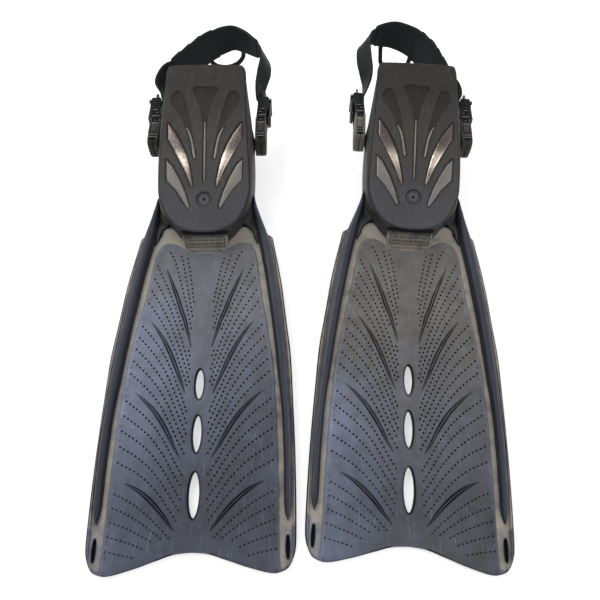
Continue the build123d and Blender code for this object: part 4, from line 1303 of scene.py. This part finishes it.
def make_plug():
    """Round plug with two ring grooves and a small central hole."""
    sheet = Sheet(ellipse(0, PLUG_Y, PLUG_R - 0.25, PLUG_R - 0.25, 44))
    sheet.hole(ellipse(0, PLUG_Y, 1.3, 1.3, 20))
    for r in (8.4, 7.9, 6.9, 6.5, 6.0, 3.6, 3.2, 2.1, 1.7):
        sheet.loop(ellipse(0, PLUG_Y, r, r, 40 if r > 3 else 24))
    sheet.build(1.6, 0.5)
    r = np.hypot(sheet.points[:, 0], sheet.points[:, 1] - PLUG_Y)
    z = sole_z(sheet.points[:, 1])
    top = (z - 0.35 - 0.6 * smooth((r - 8.0) / 0.7) - 0.7 * bell(r - 6.7, 0.35)
           - 0.5 * bell(r - 3.4, 0.25) - 0.6 * smooth((2.1 - r) / 0.8))
    # painted shade in the outer ring groove and round the hole
    shade_paint = bell(r - 6.7, 0.5) * 0.7 + np.clip((2.4 - r) / 0.6, 0, 1)
    add_piece("sole_plug_skin", sheet.solid(top, z - 1.9), "fin", "plug_plastic", "sole_plug",
              35, {"painted_shade": np.r_[shade_paint, np.zeros(len(r))]})


make_sole_plate()
make_inlays()
make_plug()

# ---------------------------------------------------------------- strap and heel pad
# The buckle frame starts at the stud: u towards the heel, w across the buckle, x as on the fin.
BUCKLE_TILT = math.radians(-9.0)
TILT_COS, TILT_SIN = math.cos(BUCKLE_TILT), math.sin(BUCKLE_TILT)
STRAP_W, STRAP_T, PAD_T = 25.0, 3.0, 6.5
EXIT_U, TAIL_U = 84.0, 98.0
ROLLER_U, ROLLER_X, ROLLER_R = 52.0, 74.0, 3.0
WRAP_R = ROLLER_R + 0.1 + STRAP_T / 2    # from the roller's axis to the middle of the strap
PER = 20                                 # curve points per station
# stations between the two buckles, outer to inner: centre, direction of the upper edge
STRAP_RUN = {
    "left": [
        ((-70.2, 223.0, 20.5), (-0.18, 0.03, 0.98)), ((-73.7, 240.0, 27.0), (-0.60, 0.05, 0.80)),
        ((-65.3, 259.8, 30.0), (-0.52, 0.25, 0.82)), ((-50.8, 270.5, 29.0), (-0.42, 0.38, 0.82)),
        ((-29.3, 290.3, 28.0), (-0.28, 0.38, 0.88)), ((-8.0, 313.0, 27.0), (-0.15, 0.38, 0.91)),
        ((23.6, 330.8, 27.0), (0.00, 0.38, 0.92)), ((43.5, 323.1, 29.0), (0.12, 0.33, 0.94)),
        ((56.5, 310.2, 32.0), (0.15, 0.20, 0.97)), ((69.9, 295.6, 36.0), (-0.10, 0.10, 0.99)),
        ((77.1, 284.0, 39.0), (-0.40, 0.00, 0.92)), ((79.5, 266.3, 40.0), (-0.58, 0.00, 0.81)),
        ((77.3, 249.1, 38.0), (-0.72, -0.05, 0.69)), ((72.7, 232.2, 31.0), (-0.50, -0.08, 0.86))],
    "right": [
        ((-69.8, 219.5, 20.0), (-0.05, 0.03, 0.99)), ((-64.9, 230.3, 27.0), (-0.30, 0.05, 0.95)),
        ((-54.0, 243.0, 31.0), (-0.40, 0.25, 0.88)), ((-45.5, 257.2, 31.0), (-0.42, 0.35, 0.84)),
        ((-34.8, 274.8, 29.0), (-0.33, 0.38, 0.87)), ((-24.4, 296.4, 28.0), (-0.20, 0.38, 0.90)),
        ((-5.0, 319.9, 27.0), (-0.08, 0.38, 0.92)), ((22.3, 333.7, 27.0), (0.05, 0.38, 0.92)),
        ((42.8, 330.5, 29.0), (0.10, 0.33, 0.94)), ((56.6, 321.5, 33.0), (0.00, 0.20, 0.98)),
        ((67.5, 309.0, 38.0), (-0.45, 0.10, 0.88)), ((71.9, 290.4, 41.0), (-0.75, 0.00, 0.66)),
        ((70.8, 266.7, 41.0), (-0.82, 0.00, 0.57)), ((67.2, 246.8, 38.0), (-0.70, -0.05, 0.70)),
        ((65.8, 230.0, 30.0), (-0.35, -0.06, 0.93))]}
# the heel pad's first and last station, and its half width by station (0 is the outer exit)
PAD_SPAN = {"left": (3.6, 9.8), "right": (3.8, 9.8)}
PAD_HALF = {
    "left": [(3, 14.0), (4, 16.5), (5, 20.0), (6, 21.0), (7, 18.5), (8, 16.5), (9, 14.8),
             (10, 14.0)],
    "right": [(3, 14.0), (4, 15.0), (5, 19.0), (6, 21.0), (7, 21.0), (8, 20.0), (9, 17.0),
              (10, 14.2)]}
# centre line of the finger loop, (x, y, z)
LOOP = {
    "left": [(-6.0, 311.5, 17), (-6.5, 305.8, 7), (1.3, 302.1, 1), (16.3, 304.2, -4),
             (31.2, 309.0, -3), (40.5, 314.0, 3), (43.5, 317.5, 10), (42.5, 321.0, 19)],
    "right": [(43.0, 328.0, 20), (43.2, 324.0, 10), (42.4, 317.0, 3), (41.0, 306.9, -2),
              (33.4, 298.0, -6), (19.0, 295.9, -7), (5.4, 299.1, -4), (-1.8, 306.0, 4),
              (-4.0, 316.5, 15)]}
# places across the strap's width
STRAP_ACROSS = np.array([-12.5, -12.1, -11.2, -9.6, -9.0, -4, 0, 4, 9.0, 9.6, 11.2, 12.1, 12.5])


def buckle_yz(u, w):
    """The fin's y and z from the buckle's u and w."""
    return STUD_Y + u * TILT_COS - w * TILT_SIN, STUD_Z + u * TILT_SIN + w * TILT_COS


def roller_wrap(sign):
    """Strap from its free tail outside the roller, round it, to the exit inside."""
    points = [(sign * (ROLLER_X + WRAP_R), *buckle_yz(u, 0)) for u in (TAIL_U, 90, 82, 74, 64, 56)]
    for k in range(25):
        a = math.pi * k / 24
        points.append((sign * (ROLLER_X + WRAP_R * math.cos(a)),
                       *buckle_yz(ROLLER_U - WRAP_R * math.sin(a), 0)))
    points += [(sign * (ROLLER_X - WRAP_R), *buckle_yz(u, 0)) for u in (58, 66, 75, EXIT_U)]
    return np.array(points, float)


def frames(line, up):
    """Up and sideways unit vectors square to a line."""
    along = np.gradient(line, axis=0)
    along /= np.maximum(np.linalg.norm(along, axis=1, keepdims=True), 1e-9)
    out = np.cross(along, up / np.linalg.norm(up, axis=1, keepdims=True))
    out /= np.linalg.norm(out, axis=1, keepdims=True)
    return np.cross(out, along), out


def lay(path, i, section):
    """Section (up, out) set on a path (centres, ups, outs) at point i."""
    centre, up, out = path
    return centre[i] + up[i] * section[:, :1] + out[i] * section[:, 1:]


def strap_path(side):
    """Lengths along the strap, its path, station at each length, and the pad's two ends."""
    edge_up = (0, -TILT_SIN, TILT_COS)
    exits = [((x, *buckle_yz(EXIT_U, 0)), edge_up) for x in (WRAP_R - ROLLER_X, ROLLER_X - WRAP_R)]
    stations = [exits[0], *STRAP_RUN[side], exits[1]]
    points, ups = (np.array(column, float) for column in zip(*stations))
    steps = np.arange((len(points) - 1) * PER + 1) / PER
    outer, inner = roller_wrap(-1)[:-1], roller_wrap(1)[::-1][1:]
    line = np.vstack([outer, catmull(points, PER), inner])
    up = np.vstack([np.tile(edge_up, (len(outer), 1)),
                    interp_rows(steps, np.arange(len(points)), ups),
                    np.tile(edge_up, (len(inner), 1))])
    length = run_length(line)
    start = len(outer)
    s = np.arange(0, length[-1], 0.9)
    s[-1] = length[-1]
    # smoothed a little so that the sweep has no kinks
    centre = relax(interp_rows(s, length, line), 4)
    up, out = frames(centre, relax(interp_rows(s, length, up), 4))
    station = np.interp(s, length[start:start + len(steps)], steps)
    pad_ends = [length[start + int(round(q * PER))] for q in PAD_SPAN[side]]
    return s, (centre, up, out), station, pad_ends


def make_band(side, s, path, pad_ends):
    """Toothed strap; plain under the pad and by its tapered tails."""
    a = np.abs(STRAP_ACROSS)
    half_t = STRAP_T / 2
    edge = 0.35 + 0.65 * arc(1 - (a - 11.0) / 1.5)
    toothed = a < 9.3
    by_border = np.abs(a - 9.3) < 0.5
    rings, shade_paint, dust_scuff_and_sheen = [], [], []
    for i, q in enumerate(s):
        end = min(q, s[-1] - q)
        taper = 0.42 + 0.58 * arc(end / 9)
        thin = 0.45 + 0.55 * min(end / 3, 1.0)
        hidden = pad_ends[0] - 4 < q < pad_ends[1] + 4
        face = half_t * edge * thin
        back = -face
        gap_shade = np.zeros(len(a))
        if end > 12 and not hidden:
            phase = (q / 3.6) % 1.0
            tooth = 0.62 * (1 - smooth((phase - 0.45) / 0.12)) * smooth(phase / 0.12)
            face[toothed] = (half_t - 0.75 + tooth * 1.2) * thin
            # painted shade in the gaps between the teeth
            gap_shade[toothed] = 0.55 * (1 - tooth / 0.62)
        elif hidden or 6 < end < 12:
            face[toothed] = half_t * thin
        if not hidden:
            back[by_border] += 0.25
        ring = np.stack([np.r_[STRAP_ACROSS, STRAP_ACROSS[::-1]] * taper,
                         np.r_[face, back[::-1]]], 1)
        rings.append(lay(path, i, ring))
        shade_paint.append(np.r_[gap_shade, np.zeros(len(a))])
        dust_scuff_and_sheen.append(np.full(len(ring), 1.2 if end < 26 else (0.5 if end < 34 else 0.0)))
    add_piece("heel_strap_skin", loft(rings), "strap_unit", "strap_rubber", "heel_strap",
              38, {"painted_shade": np.concatenate(shade_paint), "dust_scuff_and_sheen": np.concatenate(dust_scuff_and_sheen)}, (side,))


def sleeve_section(width, thickness, radius):
    """Rounded rectangle with extra points along its flats."""
    points = []
    for sx, sy, start in ((1, 1, 0), (-1, 1, 90), (-1, -1, 180), (1, -1, 270)):
        for k in range(6):
            a = math.radians(start + 90 * k / 5)
            points.append((sx * (width / 2 - radius) + radius * math.cos(a),
                           sy * (thickness / 2 - radius) + radius * math.sin(a)))
    points = np.array(points)
    rows = []
    for k, p in enumerate(points):
        after = points[(k + 1) % len(points)]
        rows.append(np.linspace(p, after, 9, endpoint=False) if k % 6 == 5 else p[None])
    return np.vstack(rows)


def pad_section(side, width, q, j, end, station):
    """Outer section of the pad at share q of its length, and the painted shade at its scale steps.
    """
    blunt = max(arc(end / 3.0), math.sqrt(0.02))
    phase = (q * 8.0) % 1.0    # eight overlapping scales
    scale_step = 1 - phase if q < 0.5 else phase
    edge_step = 1.3 * (phase - 0.5) * smooth((0.62 - q) / 0.1)
    r = sleeve_section(width, PAD_T, 2.5)
    r[:, 0] += np.sign(r[:, 0]) * edge_step * 1.1
    r[:, 0] *= 0.93 + 0.07 * blunt
    if side == "right":
        # the lower edge hangs further down over one end of the loop
        r[:, 0] -= np.where(r[:, 0] < -6, 5.0 * bell(station - 5.2, 1.5), 0.0)
    r[:, 1] *= 0.62 + 0.38 * blunt
    far = r[:, 1] < -0.5
    r[far, 1] -= scale_step * blunt * smooth((width / 2 - 1.5 - np.abs(r[far, 0])) / 2)
    ribbed = (r[:, 1] > 0.5) & (np.abs(r[:, 0]) < width / 2 - 5)
    r[ribbed, 1] += 0.2 * math.sin(j * 1.2) * np.cos(r[ribbed, 0] * 2.2)
    return r, np.where(far & (phase > 0.86), 0.5, 0.0)


def finger_loop(side):
    line = resample(catmull(LOOP[side], 8), 1.3)
    path = (line, *frames(line, np.tile(np.array((0, 1, -0.1)), (len(line), 1))))
    profile = ellipse(0, 0, 3.6, 3.3, 14, 0.8)
    rings = []
    for i in range(len(line)):
        t = i / (len(line) - 1)
        swell = 1.0 + 0.35 * (bell(t, 0.08) + bell(1 - t, 0.08))
        ridge = 1 + 0.05 * math.sin(i * 1.9) * (0.25 < t < 0.75)
        rings.append(lay(path, i, profile * np.array([swell * ridge, swell])))
    return loft(rings)


def make_pad(side, s, path, station, pad_ends):
    """Sleeve round the strap, with the finger loop under it."""
    first, last = (int(np.searchsorted(s, end)) for end in pad_ends)
    n = last - first + 1
    widths = 2 * table(PAD_HALF[side], station)
    bore = sleeve_section(STRAP_W + 0.5, STRAP_T + 0.3, 0.4)
    outer, inner, shade_paint = [], [], []
    for j, i in enumerate(range(first, last + 1)):
        end = min(j, n - 1 - j) * 0.9
        section, gap_shade = pad_section(side, widths[i], j / (n - 1), j, end, station[i])
        outer.append(lay(path, i, section))
        inner.append(lay(path, i, bore))
        shade_paint.append(gap_shade)
    loop = finger_loop(side)
    skin = merge(loft(outer + inner[::-1], closed=True), loop)
    shade_paint.append(np.zeros(n * len(bore) + len(loop[0])))
    add_piece("heel_pad_skin", skin, "strap_unit", "pad_rubber", "heel_pad", 42,
              {"painted_shade": np.concatenate(shade_paint)}, (side,))


for fin_side in SIDES:
    lengths, strap, strap_station, pad_range = strap_path(fin_side)
    make_band(fin_side, lengths, strap, pad_range)
    make_pad(fin_side, lengths, strap, strap_station, pad_range)


# ---------------------------------------------------------------- buckles, in (u, w, x)
HALF_W = 16.5    # half width of the buckle across w


def block(u0, u1, w0, w1, x0, x1, b, lean=0.0):
    """Box with edges rounded by b; its +u end can be moved in x by lean."""
    w0, w1 = sorted((w0, w1))
    rings = []
    for x, g in ((x0, b), (x0 + 0.3 * b, 0.3 * b), (x0 + b, 0), (x1 - b, 0),
                 (x1 - 0.3 * b, 0.3 * b), (x1, b)):
        ring = []
        for cu, cw, start in ((u1 - b, w1 - b, 0), (u0 + b, w1 - b, 90),
                              (u0 + b, w0 + b, 180), (u1 - b, w0 + b, 270)):
            for k in range(3):
                a = math.radians(start + 45 * k)
                u = cu + (b - g) * math.cos(a)
                ring.append((u, cw + (b - g) * math.sin(a), x + lean * (u - u0) / (u1 - u0)))
        rings.append(np.array(ring))
    return loft(rings)


def block_pairs(rows):
    """Blocks at +w and again at -w; rows hold block()'s arguments."""
    return [block(u0, u1, sign * w0, sign * w1, *rest)
            for sign in (1, -1) for u0, u1, w0, w1, *rest in rows]


def plate(outline, x0, x1, b, holes=(), spacing=2.4, relief=None):
    """Plate between x0 and x1 with borders rounded by b; relief(u, w) is added to its face."""
    sheet = Sheet(outline)
    for g in (0.25 * b, 0.6 * b, b):
        sheet.loop(inset(outline, g))
    for hole in holes:
        sheet.hole(hole)
        sheet.loop(inset(hole, -0.4))
    sheet.build(spacing, 0.7)
    d = distance(outline, sheet.points)
    for hole in holes:
        d = np.minimum(d, distance(hole, sheet.points) + b * 0.45)
    e = b * (1 - arc(d / b))
    top = x1 - e
    if relief is not None:
        top = top + relief(*sheet.points.T)
    return sheet.solid(top, x0 + e)


def rectangle(u0, u1, w, step):
    return resample([(u0, -w), (u1, -w), (u1, w), (u0, w)], step, True)


def rod(u, x, radius, half_length, segments, steps):
    """Round bar across the buckle; steps are (share of the length, share of the radius)."""
    a = np.linspace(0, 2 * math.pi, segments, endpoint=False)
    return loft([np.stack([u + radius * k * np.cos(a),
                           np.full(segments, -half_length + 2 * half_length * t),
                           x + radius * k * np.sin(a)], 1) for t, k in steps])


def add_to_buckles(name, part, body, material, replaced=None):
    """A part on the inner and on the outer buckle; {} in a name takes inner or outer."""
    (u, w, x), faces = np.array(part[0], float).T, part[1]
    skin = np.stack([x, *buckle_yz(u, w)], 1), faces
    for tag, side_skin in (("inner", skin), ("outer", flip_skin(skin))):
        add_piece(f"{name}_{tag}", side_skin, body.format(tag), material,
                  replaced and replaced.format(tag), 32)


def base_toe(u0=-12.0, u1=7.6, radius=10.0):
    """Outline of the base's round end."""
    points = [(u1, -HALF_W), (u1, HALF_W)]
    for cw, start in ((HALF_W - radius, 90), (-HALF_W + radius, 180)):
        for k in range(9):
            a = math.radians(start + 90 * k / 8)
            points.append((u0 + radius + radius * math.cos(a), cw + radius * math.sin(a)))
    return resample(points, 1.6, True)


def toe_relief(u, w):
    """Raised ring round the cap and a line across."""
    return 0.5 * bell(np.hypot(u, w) - 9.7, 0.7) - 0.4 * bell(u - 5.2, 0.45) * (np.abs(w) < 13)


def bridge_relief(u, w):
    """Sunk rectangle with ridges in it."""
    off = np.abs(u - 16)
    ridges = bell((u - 16) % 2.4 - 1.2, 0.5)
    ridges = ridges * smooth((3.6 - off) / 0.6) * smooth((8.4 - np.abs(w)) / 0.8)
    return 0.5 * ridges - 0.5 * smooth((4.0 - off) / 1.0) * smooth((9 - np.abs(w)) / 1.0)


def make_base():
    toe = base_toe()
    bridge = rectangle(5.5, 35.2, HALF_W, 1.8)
    parts = [plate(toe, 66.05, 72.3, 0.8, (circle(5.15),)),
             plate(toe, 72.3, 80.9, 2.6, (circle(8.6),), 2.0, toe_relief),
             plate(bridge, 66.05, 69.2, 0.8),
             plate(bridge, 77.8, 80.9, 1.1, (), 2.2, bridge_relief)]
    parts += block_pairs([(23.5, 28, 15.0, HALF_W, 68.9, 78.1, 0.5)])
    add_to_buckles("buckle_base_skin", merge(*parts), "buckle_{}", "buckle_base_plastic",
                   "buckle_base_{}")
    # along both edges: dark blocks that paint the shade in the channel and recess, ridges across
    # them with a painted highlight, and a small catch
    channel = block_pairs([(-6.0, 6.4, 14.8, HALF_W + 0.18, 69.2, 77.9, 0.25),
                           (28.1, 35.0, 14.6, 15.9, 69.2, 77.8, 0.3)])
    ridges = block_pairs([(-2.2, -1.1, 15.2, HALF_W + 0.5, 69.0, 78.1, 0.3),
                          (2.6, 3.7, 15.2, HALF_W + 0.5, 69.0, 78.1, 0.3),
                          (24.6, 26.2, 15.2, HALF_W + 0.35, 69.2, 77.9, 0.3)])
    catch = block_pairs([(30.2, 33.2, 15.0, 16.4, 71.6, 75.4, 0.4)])
    add_to_buckles("buckle_channel", merge(*channel), "buckle_{}", "buckle_recess")
    add_to_buckles("buckle_ridges", merge(*ridges), "buckle_{}", "painted_ridge_highlight")
    add_to_buckles("buckle_catch", merge(*catch), "buckle_{}", "buckle_base_plastic")


def make_clip():
    strap_block = rectangle(60, 80, HALF_W, 2.0)
    # tongue and cross bar
    parts = [block(10.6, 37, -5, 5, 69.7, 77.3, 0.8),
             block(36, 42.4, -HALF_W, HALF_W, 67.0, 81.0, 1.4)]
    # arms, lever ears, cheeks of the strap block and the ridges on them
    parts += block_pairs(
        [(41, 61, 13.0, HALF_W, 67.1, 80.9, 1.0, 1.5),
         (73, 79, 10.4, 14.0, 83.0, 88.2, 1.1),
         (60, 80, 12.8, HALF_W, 71.0, 84.0, 1.1)]
        + [(u, u + 2.1, 15.9, 17.2, 72.4, 82.6, 0.6) for u in (63.0, 66.6, 70.2, 73.8)])
    parts += [plate(strap_block, 71.0, 76.7, 1.1),
              plate(strap_block, 80.5, 84.0, 1.0, (), 2.2, lambda u, w:
                    -0.5 * smooth((11.2 - np.abs(w)) / 0.8) * (u < 78.8)),
              block(40.5, 45.0, -13.2, 13.2, 78.6, 80.6, 0.5)]
    add_to_buckles("buckle_clip_skin", merge(*parts), "strap_unit", "buckle_clip_plastic",
                   "buckle_clip_{}")
    # painted highlight on the ridges at the clip's edges, and a dark block that paints the shade in
    # the recess
    edges = block_pairs([(39.9, 41.2, 15.4, HALF_W + 0.3, 68.6, 79.8, 0.3),
                         (46.6, 47.7, 15.4, HALF_W + 0.42, 70.4, 74.0, 0.25),
                         (52.8, 53.9, 15.4, HALF_W + 0.42, 72.4, 78.8, 0.25)])
    recess = block_pairs([(43.4, 58.4, 15.2, HALF_W + 0.16, 70.0, 79.4, 0.3)])
    add_to_buckles("clip_edges", merge(*edges), "strap_unit", "painted_ridge_highlight")
    add_to_buckles("clip_recess_shade", merge(*recess), "strap_unit", "buckle_recess")


def make_roller_and_pin():
    knurl = [(0, 0.45), (0.02, 0.53), (0.065, 0.53), (0.072, 0.96)]
    for k in range(14):
        t = 0.09 + k * 0.0585
        knurl += [(t, 1.0), (t + 0.03, 1.0), (t + 0.038, 0.93), (t + 0.05, 0.93)]
    knurl += [(0.93, 0.96), (0.935, 0.53), (0.98, 0.53), (1.0, 0.45)]
    roller = rod(ROLLER_U, ROLLER_X, ROLLER_R, half_length=15, segments=22, steps=knurl)
    add_to_buckles("strap_roller_skin", roller, "strap_unit", "stud_plastic", "strap_roller_{}")
    heads = [(0, 1.15), (0.012, 1.45), (0.03, 1.45), (0.034, 1),
             (0.966, 1), (0.97, 1.45), (0.988, 1.45), (1, 1.15)]
    pin = rod(PIN_U, PIN_X, 0.82, half_length=14.1, segments=14, steps=heads)
    add_to_buckles("lever_pin_skin", pin, "strap_unit", "steel_pin", "lever_pin_{}")


PIN_U, PIN_X = 76, 86.2    # axis of the lever


def lever_relief(u, w):
    """Sunk field, and grip lines by the free end."""
    field = smooth((7.0 - np.abs(w)) / 0.9) * smooth((u - 50) / 1.2) * smooth((71 - u) / 1.2)
    return -0.55 * field + 0.35 * (np.abs(u - 46.2) < 2.6) * bell(u % 1.7 - 0.85, 0.35)


def make_lever():
    outline = resample([(43.2, -8.6), (45.5, -10), (74, -10), (76.6, -9.8), (76.6, 9.8), (74, 10),
                        (45.5, 10), (43.2, 8.6), (42.2, 6), (42.2, -6)], 1.6, True)
    parts = [plate(outline, 84.3, 86.9, 0.9, (), 2.2, lever_relief),
             block(42.2, 46, -9.6, 9.6, 82.7, 84.9, 0.6),
             rod(PIN_U, PIN_X, 1.95, half_length=10, segments=20,
                 steps=[(0, 0.9), (0.02, 1), (0.98, 1), (1, 0.9)])]
    parts += [block(52, 69, w - 0.6, w + 0.6, 85.8, 86.95, 0.3) for w in (-3.5, 0, 3.5)]
    add_to_buckles("tension_lever_skin", merge(*parts), "lever_{}", "lever_plastic",
                   "tension_lever_{}")


PRONG = [(33.4, 9.1), (35.6, 10.0), (35.9, 11.6), (35.6, 13.2), (33.4, 14.1), (23.2, 14.7),
         (23.2, HALF_W), (10.5, HALF_W), (8.6, 15.2), (7.4, 13.5), (7.4, 10.4), (20, 9.4)]


def make_prongs():
    for tag, sign in (("upper", 1), ("lower", -1)):
        outline = resample(PRONG, 1.0, True) * np.array([1, sign])
        parts = [plate(outline, 69.7, 77.3, 0.6, spacing=1.8)]
        parts += [block(u, u + 1.5, sign * 15.9, sign * 17.1, 70.4, 76.6, 0.5)
                  for u in (11.4, 14.2, 17.0, 19.8)]
        add_to_buckles(f"release_prong_{tag}_skin", merge(*parts), f"prong_{tag}_{{}}",
                       "prong_plastic_dark", f"release_prong_{tag}_{{}}")


def make_stud():
    """Slotted cap, and the stud under it."""
    outline = circle(8.1, 44)
    sheet = Sheet(outline)
    for g in (0.4, 0.9, 1.5, 1.9):
        sheet.loop(inset(outline, g))
    for g in (0.0, 0.4):
        sheet.loop(rectangle(-6 + g, 6 - g, 1.2 - g, 0.9))
    sheet.build(1.6, 0.5)
    u, w = np.abs(sheet.points).T
    d = distance(outline, sheet.points)
    slot = 1.3 * smooth((1.2 - w) / 0.4) * smooth((6.0 - u) / 0.4)
    top = 77.4 - 1.4 * (1 - smooth(d / 1.7)) - slot + 0.2 * bell(d - 2.2, 0.3)
    add_to_buckles("stud_cap_skin", sheet.solid(top, np.full(len(u), 72.05)), "fin",
                   "stud_plastic", "stud_cap_{}")
    # x and radius
    steps = [(58.0, 7.9), (58.5, 8.0), (59.4, 8.0), (59.5, 5.0), (71.7, 5.0), (72.0, 4.7)]
    stud = loft([np.c_[circle(radius, 32), np.full(32, x)] for x, radius in steps])
    add_to_buckles("strap_stud_skin", stud, "fin", "stud_plastic", "strap_stud_{}")


make_base()
make_clip()
make_roller_and_pin()
make_lever()
make_prongs()
make_stud()

# the right fin's inner buckle is paler
for piece_name, paler in (("buckle_base_skin", "buckle_base_worn"),
                          ("release_prong_upper_skin", "prong_plastic"),
                          ("release_prong_lower_skin", "prong_plastic")):
    mesh_data = bpy.data.objects[f"right_{piece_name}_inner_skin"].data
    mesh_data.materials[0] = MATERIALS[paler]

# ---------------------------------------------------------------- camera, floor and light
CAMERA_TARGET = Vector((-8.03, -60.455, 22.29)) / 1000
CAMERA_EYE = Vector((-4.06, -352.435, 644.43)) / 1000
ROLL_COS, ROLL_SIN = 0.999907, 0.013627    # slight roll about the line of sight


def make_camera():
    view = (CAMERA_TARGET - CAMERA_EYE).normalized()
    right = view.cross(Vector((0, 0, 1))).normalized()
    up = right.cross(view).normalized()
    right, up = right * ROLL_COS + up * ROLL_SIN, up * ROLL_COS - right * ROLL_SIN
    camera = bpy.data.objects.new("camera", bpy.data.cameras.new("camera"))
    scene.collection.objects.link(camera)
    camera.data.lens = 31.98
    camera.data.sensor_width = 36.0
    camera.data.clip_start = 0.01
    rows = [(right[k], up[k], -view[k], CAMERA_EYE[k]) for k in range(3)]
    camera.matrix_world = Matrix((*rows, (0, 0, 0, 1)))
    scene.camera = camera


def make_floor(half=6, level=-0.0006):
    shader = Shader("studio_floor")
    clouds = shader.add("TexNoise", {"Scale": 6})
    shader.feed(shader.surface, {
        "Base Color": (0.93, 0.93, 0.93, 1),
        "Roughness": 0.9,
        "Specular IOR Level": 0.1,
        "Emission Color": (1, 1, 1, 1),
        "Emission Strength": 0.5})
    shader.feed(shader.surface, {"Roughness": shader.remap(clouds, target=(0.88, 0.92))})
    mesh = bpy.data.meshes.new("floor")
    corners = [(-half, -half), (half, -half), (half, half), (-half, half)]
    mesh.from_pydata([(x, y, level) for x, y in corners], [], [(0, 1, 2, 3)])
    mesh.materials.append(shader.material)
    floor = bpy.data.objects.new("floor", mesh)
    scene.collection.objects.link(floor)


def make_lamp(name, place_at, size, power):
    """Rectangular area light aimed at the origin."""
    light = bpy.data.lights.new(name, "AREA")
    light.shape = "RECTANGLE"
    light.size, light.size_y = size
    light.energy = power
    lamp = bpy.data.objects.new(name, light)
    lamp.location = place_at
    lamp.rotation_euler = (-Vector(place_at)).to_track_quat("-Z", "Y").to_euler()
    scene.collection.objects.link(lamp)


def make_world():
    world = bpy.data.worlds.new("studio")
    scene.world = world
    world.use_nodes = True
    background = world.node_tree.nodes["Background"]
    background.inputs["Color"].default_value = (1.0, 1.0, 1.0, 1)
    background.inputs["Strength"].default_value = 0.5


make_camera()
make_floor()
make_lamp("key", place_at=(-1.1, 0.9, 1.9), size=(1.1, 0.9), power=17)
make_lamp("fill", place_at=(1.5, -0.2, 1.7), size=(1.5, 1.3), power=8)
make_lamp("rim", place_at=(0.2, 1.9, 1.0), size=(1.6, 0.7), power=6)
make_world()
scene.view_settings.view_transform = "Standard"
